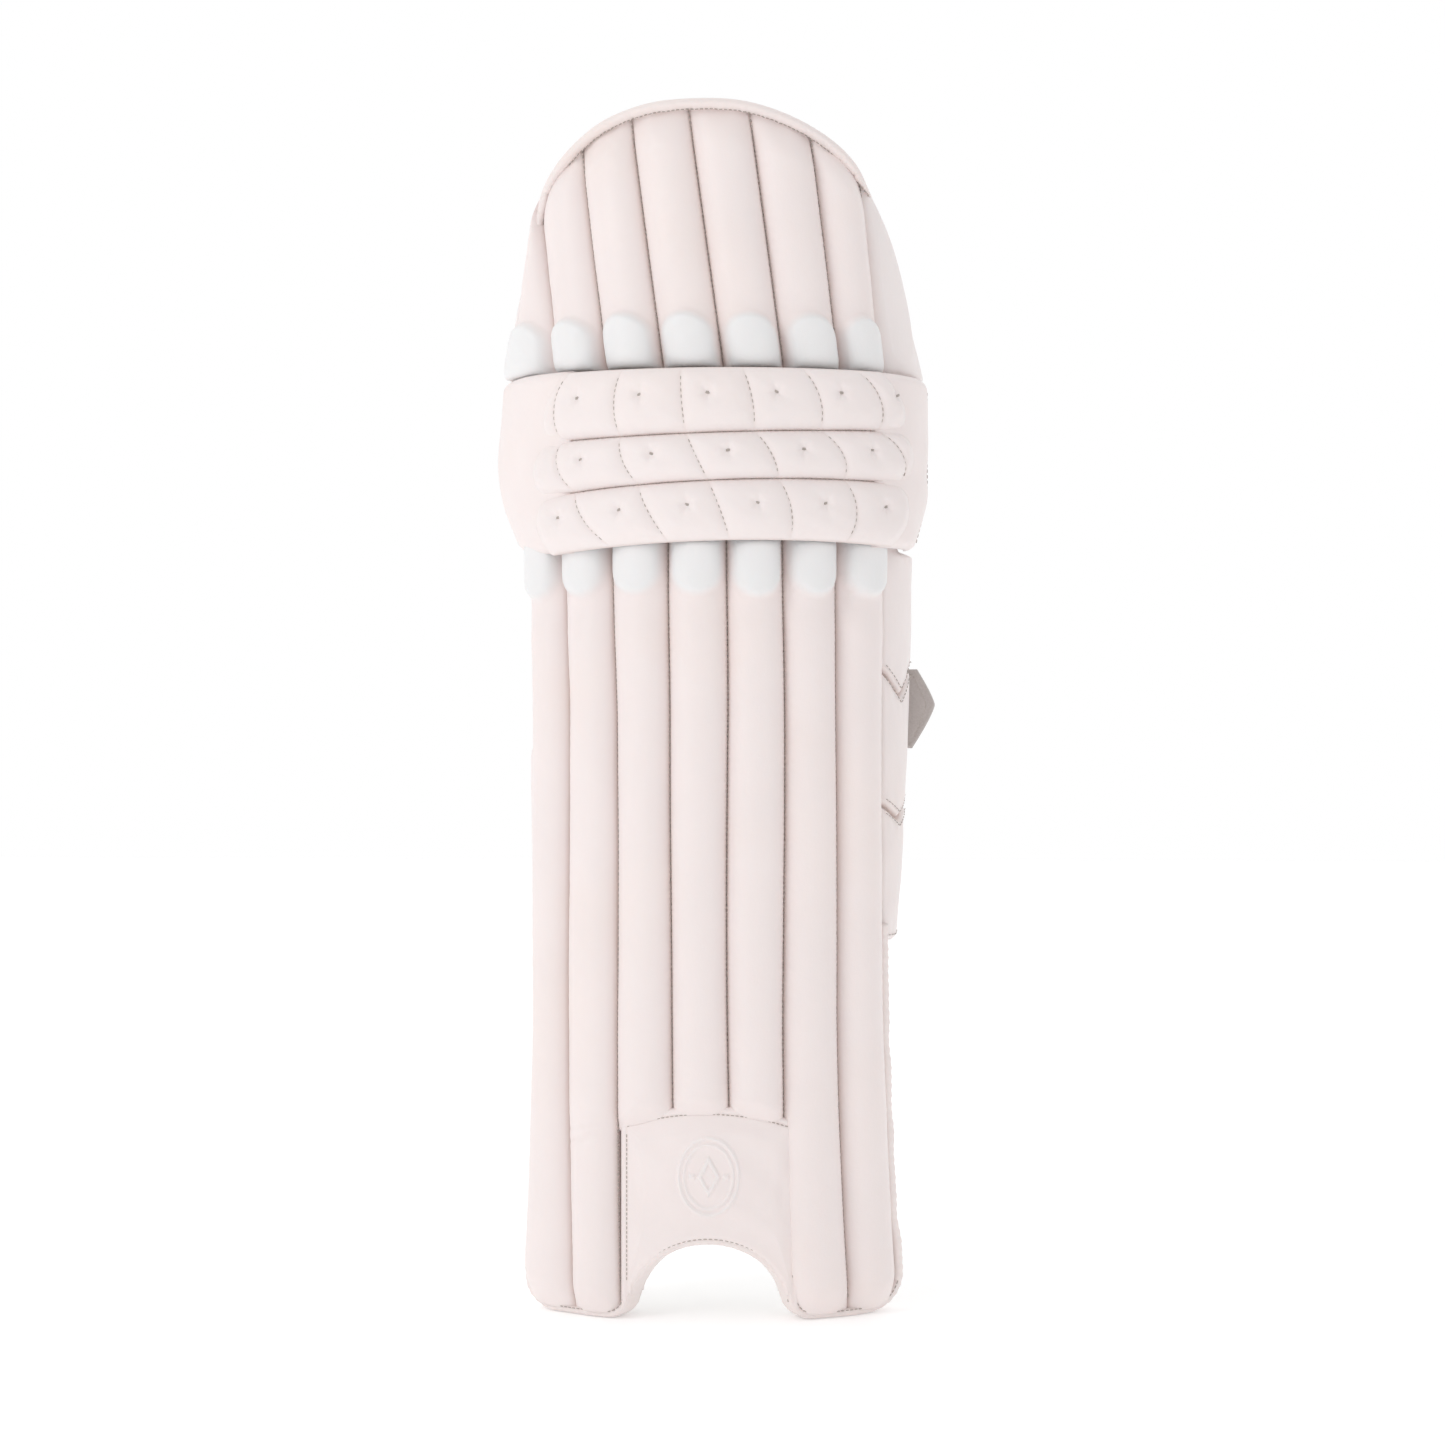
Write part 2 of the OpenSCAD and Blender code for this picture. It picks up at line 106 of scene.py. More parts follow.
def ripple(seed, *axes, waves=6):
    """Smooth wavy noise, about -1 to 1: each axis is (values, shortest wavelength)."""
    local = np.random.default_rng(seed)
    total = 0
    for _ in range(waves):
        phase = local.uniform(0, 2 * math.pi)
        for values, wavelength in axes:
            turns = np.asarray(values) * 2 * math.pi / (wavelength * local.uniform(1, 3))
            phase = phase + turns * local.choice([-1, 1])
        total = total + np.sin(phase)
    return total / waves * 1.6


# ---------- meshes ----------

def new_mesh(name, verts, faces):
    """A smooth-shaded object from points in metres and faces."""
    mesh = bpy.data.meshes.new(name)
    mesh.from_pydata([tuple(v) for v in verts], [], [tuple(int(i) for i in f) for f in faces])
    mesh.validate()
    mesh.polygons.foreach_set("use_smooth", [True] * len(mesh.polygons))
    mesh.update()
    piece = bpy.data.objects.new(name, mesh)
    bpy.context.scene.collection.objects.link(piece)
    return piece


def grid_faces(rows, cols, start=0, flip=False):
    """Quads over a grid of points whose first index is start."""
    i = np.arange(rows * cols).reshape(rows, cols) + start
    quads = np.stack([i[:-1, :-1], i[:-1, 1:], i[1:, 1:], i[1:, :-1]], -1).reshape(-1, 4)
    return quads[:, ::-1] if flip else quads


def rim(rows, cols):
    """The outer ring of a grid's indices, in order."""
    i = np.arange(rows * cols).reshape(rows, cols)
    return np.concatenate([i[0, :-1], i[:-1, -1], i[-1, :0:-1], i[:0:-1, 0]])


def slab(name, front, back, **fields):
    """A closed piece between two grids of the same size. Each field is a value for every front point."""
    rows, cols = front.shape[:2]
    n = rows * cols
    ring = rim(rows, cols)
    nxt = np.roll(ring, -1)
    side = np.stack([ring, ring + n, nxt + n, nxt], -1)
    verts = np.concatenate([front.reshape(-1, 3), back.reshape(-1, 3)])
    faces = np.concatenate([grid_faces(rows, cols), grid_faces(rows, cols, n, True), side])
    piece = new_mesh(name, verts, faces)
    for field, values in fields.items():
        both = np.concatenate([np.broadcast_to(values, (rows, cols)).ravel(), np.zeros(n)])
        attribute = piece.data.attributes.new(field, "FLOAT", "POINT")
        attribute.data.foreach_set("value", both.astype(np.float32))
    return piece


def tube(name, path, radii, sides=12, flat=1.0, up=(0, 1, 0)):
    """A closed tube along a path in metres; flat stretches its section along up."""
    path = np.asarray(path, float)
    n = len(path)
    radii = np.broadcast_to(radii, n)
    ahead = np.gradient(path, axis=0)
    ahead /= np.linalg.norm(ahead, axis=1)[:, None]
    across = np.cross(ahead, np.broadcast_to(up, ahead.shape))
    across /= np.linalg.norm(across, axis=1)[:, None]
    deep = np.cross(across, ahead)
    turn = np.linspace(0, 2 * math.pi, sides, endpoint=False)
    ring = (across[:, None] * np.cos(turn)[:, None] + deep[:, None] * np.sin(turn)[:, None] * flat)
    verts = (path[:, None] + ring * radii[:, None, None]).reshape(-1, 3)
    i = np.arange(n * sides).reshape(n, sides)
    j = np.roll(i, -1, axis=1)
    walls = np.stack([i[:-1], i[1:], j[1:], j[:-1]], -1).reshape(-1, 4)
    faces = [tuple(f) for f in walls] + [tuple(i[0]), tuple(i[-1][::-1])]
    return new_mesh(name, verts, faces)


def resample(path, step):
    """Points at an even step along a path."""
    path = np.asarray(path, float)
    length = np.concatenate([[0], np.cumsum(np.linalg.norm(np.diff(path, axis=0), axis=1))])
    at = np.linspace(0, length[-1], max(2, int(round(length[-1] / step)) + 1))
    return np.stack([np.interp(at, length, path[:, k]) for k in range(3)], -1)


def stitches(name, lines, pitch=3.0, length=2.0, radius=0.42, body=None):
    """Thread: one short rounded stitch every pitch along each line, all in one piece."""
    verts, faces = [], []
    sides = 6
    turn = np.linspace(0, 2 * math.pi, sides, endpoint=False)
    for line in lines:
        path = resample(line, pitch * MM)
        middle = (path[:-1] + path[1:]) / 2
        ahead = np.diff(path, axis=0)
        ahead /= np.linalg.norm(ahead, axis=1)[:, None]
        for p, d in zip(middle, ahead):
            across = np.cross(d, (0.3, 0.9, 0.2))
            across /= np.linalg.norm(across)
            deep = np.cross(across, d)
            ring = across[None] * np.cos(turn)[:, None] + deep[None] * np.sin(turn)[:, None]
            base = len(verts)
            for at, r in ((-0.5, 0.45), (-0.25, 1.0), (0.25, 1.0), (0.5, 0.45)):
                verts.extend(p + d * at * length * MM + ring * r * radius * MM)
            for k in range(3):
                for s in range(sides):
                    t = (s + 1) % sides
                    lo, hi = base + k * sides, base + (k + 1) * sides
                    faces.append((lo + s, hi + s, hi + t, lo + t))
            faces.append(tuple(base + s for s in range(sides)))
            faces.append(tuple(base + 3 * sides + s for s in reversed(range(sides))))
    piece = new_mesh(name, verts, faces)
    paint(piece, thread_look)
    if body:
        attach(piece, body)
    return piece


# ---------- materials ----------

def node_tree(name):
    """A new material, its nodes and links, and its main shader."""
    material = bpy.data.materials.new(name)
    material.use_nodes = True
    nodes, links = material.node_tree.nodes, material.node_tree.links
    return material, nodes, links, nodes["Principled BSDF"]


def texture(nodes, links, kind, scale, detail=None, **settings):
    """A procedural texture in object coordinates, so that its scale is in units per metre."""
    place = nodes.new("ShaderNodeTexCoord")
    tex = nodes.new(kind)
    tex.inputs["Scale"].default_value = scale
    if detail is not None:
        tex.inputs["Detail"].default_value = detail
    for key, value in settings.items():
        setattr(tex, key, value)
    links.new(place.outputs["Object"], tex.inputs["Vector"])
    return tex


def ramp(nodes, links, source, stops):
    """A colour ramp fed by a value: stops are (position, colour)."""
    piece = nodes.new("ShaderNodeValToRGB")
    while len(piece.color_ramp.elements) < len(stops):
        piece.color_ramp.elements.new(0.5)
    for element, (at, colour) in zip(piece.color_ramp.elements, stops):
        element.position = at
        element.color = (*colour, 1)
    links.new(source, piece.inputs["Fac"])
    return piece.outputs["Color"]


def mix(nodes, links, factor, a, b, mode="MIX"):
    """Mixes two colours; each input is a socket or a plain value."""
    piece = nodes.new("ShaderNodeMix")
    piece.data_type = "RGBA"
    piece.blend_type = mode
    for key, value in (("Factor", factor), ("A", a), ("B", b)):
        socket = [s for s in piece.inputs if s.name == key and s.enabled][0]
        if isinstance(value, bpy.types.NodeSocket):
            links.new(value, socket)
        else:
            socket.default_value = value if key == "Factor" else (*value, 1)
    return [s for s in piece.outputs if s.enabled][0]


def field(nodes, name):
    """A value stored on the mesh, such as how far a point is up a cap or down in a groove."""
    piece = nodes.new("ShaderNodeAttribute")
    piece.attribute_name = name
    return piece.outputs["Fac"]


def bump(nodes, links, height, strength, distance, under=None):
    """A bump from a height, on top of another bump if one is given."""
    piece = nodes.new("ShaderNodeBump")
    piece.inputs["Strength"].default_value = strength
    piece.inputs["Distance"].default_value = distance
    links.new(height, piece.inputs["Height"])
    if under is not None:
        links.new(under, piece.inputs["Normal"])
    return piece.outputs["Normal"]


def cover_material(name, tone, cool, crease):
    """White PU with fine grain and faint mottling: cooler on the caps, and a darker, warmer tone painted into
    the grooves, partly painted shade and partly a warm soiled tint along the seams.
    """
    material, nodes, links, shader = node_tree(name)
    mottling = texture(nodes, links, "ShaderNodeTexNoise", 22, 4)
    base = ramp(nodes, links, mottling.outputs["Fac"], [(0.3, [c * 0.975 for c in tone]), (0.7, tone)])
    handling = texture(nodes, links, "ShaderNodeTexNoise", 9, 5)
    patches = ramp(nodes, links, handling.outputs["Fac"], [(0.52, (0, 0, 0)), (0.74, (0.42,) * 3)])
    base = mix(nodes, links, patches, base, [t * c for t, c in zip(tone, (1.0, 0.965, 0.925))])
    base = mix(nodes, links, field(nodes, "cap"), base, cool)
    # The groove field paints a darker, warmer tone: painted shade in the grooves and seams, with a warm
    # soiled tint along them.
    base = mix(nodes, links, field(nodes, "groove"), base, crease)
    links.new(base, shader.inputs["Base Color"])
    grain = texture(nodes, links, "ShaderNodeTexVoronoi", 850, feature="DISTANCE_TO_EDGE")
    pores = texture(nodes, links, "ShaderNodeTexNoise", 1400, 3)
    crinkle = texture(nodes, links, "ShaderNodeTexNoise", 160, 5)
    rough = ramp(nodes, links, crinkle.outputs["Fac"], [(0.3, (0.42,) * 3), (0.75, (0.52,) * 3)])
    links.new(rough, shader.inputs["Roughness"])
    soft = bump(nodes, links, crinkle.outputs["Fac"], 0.25, 0.0008)
    fine = bump(nodes, links, grain.outputs["Distance"], 0.16, 0.0002, soft)
    links.new(bump(nodes, links, pores.outputs["Fac"], 0.1, 0.0001, fine), shader.inputs["Normal"])
    shader.inputs["Specular IOR Level"].default_value = 0.42
    shader.inputs["Subsurface Weight"].default_value = 0.06
    shader.inputs["Subsurface Radius"].default_value = (0.004, 0.0025, 0.002)
    shader.inputs["Sheen Weight"].default_value = 0.05
    return material


def cloth_material(name, dark, light, weave, rough, depth=0.0003):
    """Woven or brushed cloth: crossed waves for the yarns, and fuzz over them."""
    material, nodes, links, shader = node_tree(name)
    across = texture(nodes, links, "ShaderNodeTexWave", weave, bands_direction="X", wave_type="BANDS")
    along = texture(nodes, links, "ShaderNodeTexWave", weave, bands_direction="Z", wave_type="BANDS")
    fuzz = texture(nodes, links, "ShaderNodeTexNoise", weave * 2.2, 6)
    yarns = mix(nodes, links, 0.5, across.outputs["Color"], along.outputs["Color"])
    height = mix(nodes, links, 0.55, yarns, fuzz.outputs["Color"])
    links.new(ramp(nodes, links, height, [(0.25, dark), (0.7, light)]), shader.inputs["Base Color"])
    links.new(bump(nodes, links, height, 0.5, depth), shader.inputs["Normal"])
    shader.inputs["Roughness"].default_value = rough
    shader.inputs["Sheen Weight"].default_value = 0.3
    return material


def thread_material(name, tone):
    """Twisted sewing thread."""
    material, nodes, links, shader = node_tree(name)
    twist = texture(nodes, links, "ShaderNodeTexWave", 900, bands_direction="DIAGONAL", wave_type="BANDS")
    links.new(ramp(nodes, links, twist.outputs["Fac"], [(0.2, [c * 0.8 for c in tone]), (0.8, tone)]),
              shader.inputs["Base Color"])
    links.new(bump(nodes, links, twist.outputs["Fac"], 0.6, 0.0001), shader.inputs["Normal"])
    shader.inputs["Roughness"].default_value = 0.6
    return material


def board_material(name, tone, cell, rough=0.85):
    """Pressed board or hook tape: small cells over a mottled tone."""
    material, nodes, links, shader = node_tree(name)
    cells = texture(nodes, links, "ShaderNodeTexVoronoi", cell)
    cloud = texture(nodes, links, "ShaderNodeTexNoise", cell / 12, 4)
    links.new(ramp(nodes, links, cloud.outputs["Fac"], [(0.3, [c * 0.9 for c in tone]), (0.7, tone)]),
              shader.inputs["Base Color"])
    links.new(bump(nodes, links, cells.outputs["Distance"], 0.4, 0.0003), shader.inputs["Normal"])
    shader.inputs["Roughness"].default_value = rough
    return material


def cane_material(name):
    """Split cane with its fibres running upwards."""
    material, nodes, links, shader = node_tree(name)
    fibre = texture(nodes, links, "ShaderNodeTexNoise", 500, 5)
    place = nodes.new("ShaderNodeMapping")
    place.inputs["Scale"].default_value = (1, 1, 0.04)
    links.new(fibre.inputs["Vector"].links[0].from_socket, place.inputs["Vector"])
    links.new(place.outputs["Vector"], fibre.inputs["Vector"])
    dark, light = (0.42, 0.29, 0.13), (0.68, 0.52, 0.28)
    tones = ramp(nodes, links, fibre.outputs["Fac"], [(0.35, dark), (0.7, light)])
    links.new(tones, shader.inputs["Base Color"])
    links.new(bump(nodes, links, fibre.outputs["Fac"], 0.3, 0.0002), shader.inputs["Normal"])
    shader.inputs["Roughness"].default_value = 0.5
    return material


PU_TONE = (0.885, 0.80, 0.785)
# The third colour is the groove tone: painted shade in the grooves, with a warm soiled tint.
cover_look = cover_material("white_pu", PU_TONE, (0.83, 0.835, 0.84), (0.70, 0.57, 0.52))
binding_look = cover_material("white_pu_binding", (0.87, 0.785, 0.765), (0.8, 0.8, 0.8), (0.70, 0.57, 0.52))
thread_look = thread_material("sewing_thread", (0.52, 0.46, 0.42))
lining_look = cloth_material("brushed_lining", (0.62, 0.59, 0.56), (0.8, 0.78, 0.75), 420, 0.9)
strap_look = cloth_material("suede_strap", (0.40, 0.355, 0.335), (0.56, 0.51, 0.49), 520, 0.85)
hook_look = board_material("hook_tape", (0.5, 0.47, 0.45), 900, 0.6)
board_look = board_material("backing_board", (0.58, 0.53, 0.46), 260)
cane_look = cane_material("split_cane")


def paint(piece, look):
    """Gives a piece its one material."""
    piece.data.materials.clear()
    piece.data.materials.append(look)


# ---------- shin ----------

BASE_LEFT, BASE_RIGHT = 105.4, 109.4   # half widths of the base


def base_edge(x, inset=0.0):
    """Height of the pad's lower edge at x from the leg axis: two lobes beside the instep arch."""
    arch_r, arch_x, lobe_r, corner = 46.0, 3.0, 14.0, 20.0
    x = np.asarray(x, float)
    side = np.where(x > 0, BASE_RIGHT, BASE_LEFT)
    d = np.abs(x - arch_x)
    centre = math.sqrt((arch_r + lobe_r) ** 2 - (lobe_r + 3) ** 2)
    touch = centre * arch_r / (arch_r + lobe_r)
    arch = -3 + np.sqrt(np.clip((arch_r + inset) ** 2 - d ** 2, 0, None))
    lobe = lobe_r - np.sqrt(np.clip((lobe_r - inset) ** 2 - (centre - d) ** 2, 0, None))
    edge = np.where(d < touch, np.maximum(arch, inset), np.where(d < centre, lobe, inset))
    reach = np.clip(np.abs(x) - (side - corner), 0, corner - inset - 0.01)
    return np.maximum(edge, corner - np.sqrt((corner - inset) ** 2 - reach ** 2))


# How far each seam moves, in degrees, at the base: the edge rolls spread with the lobes.
SEAM_AT_BASE = [-5, 1, 1, 1, 1, 1, 4, 5]


def shin_seam(k, z):
    """Angle of shin seam k at height z: the rolls spread at the base and close up under the knee."""
    z = np.asarray(z, float)
    flare = np.clip((175 - z) / 175, 0, 1) ** 1.4
    sway = 0.25 * np.sin(z / 55 + 1.7 * k)
    return SHIN_SEAMS[k] + SEAM_AT_BASE[k] * flare + (k / 4 - 1.5) * smooth(z, 330, 430) + sway


def patch_top(a):
    """Height of the instep patch's crowned top edge at angle a."""
    return 120.3 - 0.0215 * (a - 1.2) ** 2


def shin_roll(k):
    """One stuffed roll of the shin, with the rounded cap moulded into its top end."""
    under_patch = 3 <= k <= 5
    cols, rows = 26, 236
    u = -np.cos(np.linspace(0, math.pi, cols))[None, :]
    t = np.linspace(0, 1, rows)[:, None]
    mid0 = (SHIN_SEAMS[k - 1] + SHIN_SEAMS[k]) / 2
    half0 = (SHIN_SEAMS[k] - SHIN_SEAMS[k - 1]) / 2
    if k in (1, 2, 6, 7):
        lo0, hi0 = shin_seam(k - 1, 12.0), shin_seam(k, 12.0)
        mid0, half0 = (lo0 + hi0) / 2, (hi0 - lo0) / 2
    x0 = WRAP_R * np.sin(np.radians(mid0 + u * half0))
    foot = patch_top(mid0 + u * half0) - 5.0 if under_patch else base_edge(x0, BINDING * 0.55)
    top = KNEE_Z + 13
    z = foot + (top - foot) * t
    lo, hi = shin_seam(k - 1, z), shin_seam(k, z)
    a = (lo + hi) / 2 + u * (hi - lo) / 2
    plump = np.clip(1 - np.abs(u) ** 2.2, 0, 1) ** 0.6
    end = smooth(z - foot, -2, 17 if not under_patch else 11) ** 0.7
    lift = ROLL_LIFT * plump * (0.3 + 0.7 * end) * (1 + 0.03 * ripple(20 + k, (z, 45)))
    # the moulded cap: a capsule with a round lower end, pushed out under the cover
    cap_mid = CAP_Z + 15 + ripple(3, (k * 10.0, 7)) * 1.0
    reach = np.sqrt((u / 0.93) ** 2 + (np.clip(cap_mid - z, 0, None) / 14.5) ** 2)
    cap = smooth(-reach, -1.06, -0.72)
    neck = smooth(z, CAP_Z - 22, CAP_Z - 3) * (1 - cap) * 1.1
    lift = lift + cap * 3.9 - neck * plump
    tuck = smooth(z, KNEE_Z - 4, top)
    lift = lift * (1 - 0.75 * tuck)
    pucker = 0.22 * np.sin(z * 2 * math.pi / 6.0 + k) * smooth(np.abs(u), 0.7, 0.95) * (1 - np.abs(u) ** 8)
    r = GROOVE_R + lift + pucker + 0.12 * ripple(50 + k, (z, 9), (a * 2.3, 8)) * plump
    if k == 2:
        # two slanting wear creases just above the instep
        upper = np.exp(-((z - 109 - (a + 27) * 0.6) / 1.0) ** 2)
        crease = np.exp(-((z - 103 - (a + 27) * 0.9) / 1.3) ** 2) + 0.7 * upper
        r = r - 0.95 * crease * smooth(plump, 0.2, 0.9)
    front = wrap(a, r, z)
    back = wrap(a, np.full_like(r, BACKING_R + 0.6), z)
    # The groove field paints shade, with a warm soiled tint, at the roll edges down in the seams between
    # rolls.
    piece = slab(f"shin_roll_{k}", front, back, cap=cap * 0.85, groove=smooth(np.abs(u), 0.88, 1.0) * 0.45)
    paint(piece, cover_look)
    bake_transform(piece)
    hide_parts(f"shin_filler_{k}")
    return piece


# The knee fold lies just behind the lip of the bars.
knee_fold_span = (plan_point(0, FOLD_Y, KNEE_Z - 4.0), plan_point(0, FOLD_Y, KNEE_Z + 12.0))
shin_rolls = [shin_roll(k) for k in range(1, 8)]
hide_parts("shin_facing", "shin_roll_caps")
seam_z = np.arange(10, KNEE_Z + 8, 3.0)
seam_lines = []
for k in range(1, 8):
    low = PATCH_Z + 3 if 3 <= k <= 4 else 8.0
    z = seam_z[seam_z > low]
    seam_lines.append(wrap(shin_seam(k, z), GROOVE_R + 1.7, z))
stitches("shin_seam_stitches", seam_lines, body="shin")


# ---------- knee bars ----------

BAR_BACK = 149.8         # radius of the bars' overhanging backs
BAR_GROOVE = 151.5       # radius of the seams between the bars
BAR_LIFT = 8.4           # how far a bar stands out from its seams

# Cross seams run on from bar to bar. At each level, from the lip to the top edge, these are
# in degrees: the first seam, the step to the next one, and the two ends of the bars.
SEAM_START = [-19.0, -27.5, -31.0, -29.0]
SEAM_STEP = [12.5, 14.5, 14.0, 12.5]
LEFT_END = [-34, -37, -36, -31]
RIGHT_END = [43, 46, 46, 40]
SEAM_COUNT = [5, 6, 6]      # cross seams in each bar, from the bottom one
SEAM_BOW = 0.07             # how much further out a seam stands at mid bar, as a part of its angle
# Tacks stand in the cells: each bar's first one, the step to the next one, and their number.
TACK_START = [-31, -25.4, -26.3]
TACK_STEP = [14.2, 15.5, 13.9]
TACK_COUNT = [6, 5, 6]
TACK_HEIGHT = 0.6           # part of the bar's height at which its tacks stand


def bar_seams(i):
    """The seams across bar i, from its left end to its right one, as angles (top, middle, bottom)."""
    bottom = [LEFT_END[i]] + [SEAM_START[i] + SEAM_STEP[i] * k for k in range(SEAM_COUNT[i])] + [RIGHT_END[i]]
    top = [LEFT_END[i + 1]] + [SEAM_START[i + 1] + SEAM_STEP[i + 1] * k for k in range(SEAM_COUNT[i])]
    top.append(RIGHT_END[i + 1])
    return [(t, (t + b) / 2 * (1 + SEAM_BOW), b) for t, b in zip(top, bottom)]


def bar_tacks(i):
    """Angle and height of each tack of bar i."""
    spots = []
    for k in range(TACK_COUNT[i]):
        a = TACK_START[i] + TACK_STEP[i] * k
        low, high = bar_level(i, a), bar_level(i + 1, a)
        spots.append((a, float(low + (high - low) * TACK_HEIGHT)))
    return spots


def bar_level(i, a):
    """Height of the seam under bar i at angle a; level 0 is the lip and level 3 the top edge."""
    a = np.asarray(a, float)
    lip = KNEE_Z - 1.6 + 0.09 * a - 0.0030 * a ** 2
    return [lip, 466.0 + 0.12 * a - 0.0022 * a ** 2, 492.3 + 0.085 * a, 528.4 + 0.012 * a][i]


def through(angles, v):
    """A smooth curve through the angles at the top, middle and bottom of a bar, at height fraction v."""
    top, middle, bottom = angles
    return bottom + (4 * middle - 3 * bottom - top) * v + (2 * bottom + 2 * top - 4 * middle) * v * v


def knee_bar(i, name):
    """A quilted bar with pillowed cells and a dimple at each tack; also returns its stitch lines."""
    rows, cols = 56, 380
    v = (1 - np.cos(np.linspace(0, math.pi, rows)))[:, None] / 2
    v = 0.35 * np.linspace(0, 1, rows)[:, None] + 0.65 * v
    seams = [through(angles, v) for angles in bar_seams(i)]
    q = np.linspace(0, 1, cols)[None, :]
    a = seams[0] + (seams[-1] - seams[0]) * q
    low, high = bar_level(i, a), bar_level(i + 1, a)
    z = low + (high - low) * v
    w = 2 * v - 1
    section = np.clip(1 - np.abs(w) ** 2.6, 0, 1) ** 0.55
    quilt = np.zeros_like(a)
    for left, right in zip(seams[:-1], seams[1:]):
        u = (2 * a - left - right) / (right - left)
        inside = np.abs(u) <= 1
        narrow = smooth(right - left, 1, 9)
        quilt = np.where(inside, (1 - np.abs(u) ** 3.2) ** 0.8 * narrow, quilt)
    end = np.minimum(q, 1 - q) * (seams[-1] - seams[0]) * 2.7
    lift = section * (BAR_LIFT * (0.63 + 0.37 * quilt)) * (0.4 + 0.6 * smooth(end, -1, 9) ** 0.8)
    for tack_a, tack_z in bar_tacks(i):
        dx = (a - tack_a) * 2.75
        dz = z - tack_z
        d = np.hypot(dx, dz)
        folds = 1 + 0.35 * np.cos(5 * np.arctan2(dz, dx) + tack_a)
        lift = lift - 2.0 * np.exp(-(d / 3.2) ** 2) - 0.7 * folds * np.exp(-(d / 8.5) ** 1.5) * section
    lift = lift + 0.16 * ripple(70 + i, (a * 2.7, 14), (z, 10)) * section
    pull = np.sin(a * 2.7 * 2 * math.pi / 7.5 + i) * 0.16 * np.exp(-((1 - np.abs(w)) / 0.22) ** 2)
    r = BAR_GROOVE + lift + pull * section ** 0.3
    if i == 0:
        # the lip rolls under itself
        under = np.exp(-(v / 0.12) ** 2)
        r = r + 0.2 * under
    hollow = smooth(z, KNEE_Z + 15, KNEE_Z + 20) * (1 - smooth(z, THIGH_Z - 21, THIGH_Z - 16))
    back = wrap(a, BAR_BACK - 12.5 * hollow, z)
    front = wrap(a, r, z)
    # Painted shade, with a warm soiled tint: near the cross seams of each cell and along the seams at the
    # bar's top and bottom.
    rest = np.clip(1 - quilt, 0, 1) ** 6
    groove = np.maximum(rest * 0.25, smooth(np.abs(w), 0.93, 1) * 0.4)
    piece = slab(name, front, back, cap=0.1 + 0 * a, groove=groove)
    paint(piece, cover_look)
    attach(piece, "knee")
    stitch_lines = []
    for angles in bar_seams(i)[1:-1]:
        vv = np.linspace(0.12, 0.88, 24)
        aa = through(angles, vv)
        zz = bar_level(i, aa) + (bar_level(i + 1, aa) - bar_level(i, aa)) * vv
        ww = 2 * vv - 1
        rr = BAR_GROOVE + BAR_LIFT * 0.63 * np.clip(1 - np.abs(ww) ** 2.6, 0, 1) ** 0.55
        stitch_lines.append(wrap(aa, rr + 0.1, zz))
    return piece, stitch_lines


bar_parts = [knee_bar(i, f"knee_bar_{word}") for i, word in enumerate(("bottom", "middle", "top"))]
for (piece, _), word in zip(bar_parts, ("bottom", "middle", "top")):
    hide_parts(f"knee_bar_cover_{word}", f"knee_bar_core_{word}")
bar_lines = [line for _, lines in bar_parts for line in lines]
for i in (1, 2):
    aa = np.linspace(LEFT_END[i] + 1, RIGHT_END[i] - 1, 160)
    bar_lines.append(wrap(aa, BAR_GROOVE + 0.9, bar_level(i, aa)))
stitches("knee_bar_stitches", bar_lines, pitch=3.4, length=2.1, radius=0.36, body="knee")


def tack_threads():
    """Each bar tack is three short threads sewn side by side in its dimple."""
    rows = []
    for i in range(3):
        for a, z in bar_tacks(i):
            tilt = 0.5 * math.sin(a + i)
            for step in (-0.45, 0.0, 0.45):
                level = z + step + np.array([-tilt, tilt])
                rows.append(wrap([a - 0.42, a + 0.42], BAR_GROOVE + BAR_LIFT - 2.6, level))
    return rows


tacks = stitches("knee_bar_tacks", tack_threads(), pitch=2.6, length=2.5, radius=0.3, body="knee")
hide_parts("knee_tacks")


# ---------- side panels ----------

def plan_bend(r, a0, x, y_back, n):
    """Plan of a side panel: from angle a0 at radius r it bends to x and then runs straight back."""
    turn = math.radians(a0)
    rho = (x - r * math.sin(turn)) / (1 - math.sin(turn))
    centre = np.array([x - rho, (rho - r) * math.cos(turn)])
    arc_a = np.linspace(turn, math.pi / 2, 40)
    arc = centre + rho * np.stack([np.sin(arc_a), -np.cos(arc_a)], -1)
    path = arc
    if y_back > arc[-1, 1] + 0.5:
        path = np.concatenate([arc, [[x, y_back]]])
    else:
        path = arc[arc[:, 1] <= max(y_back, arc[1, 1])]
    length = np.concatenate([[0], np.cumsum(np.linalg.norm(np.diff(path, axis=0), axis=1))])
    at = np.linspace(0, length[-1], n)
    return np.stack([np.interp(at, length, path[:, 0]), np.interp(at, length, path[:, 1])], -1)


def edge_roll(d, rho):
    """How far a padded panel's face drops at distance d from its edge."""
    return rho * (1 - np.sqrt(1 - (1 - np.clip(d / rho, 0, 1)) ** 2))


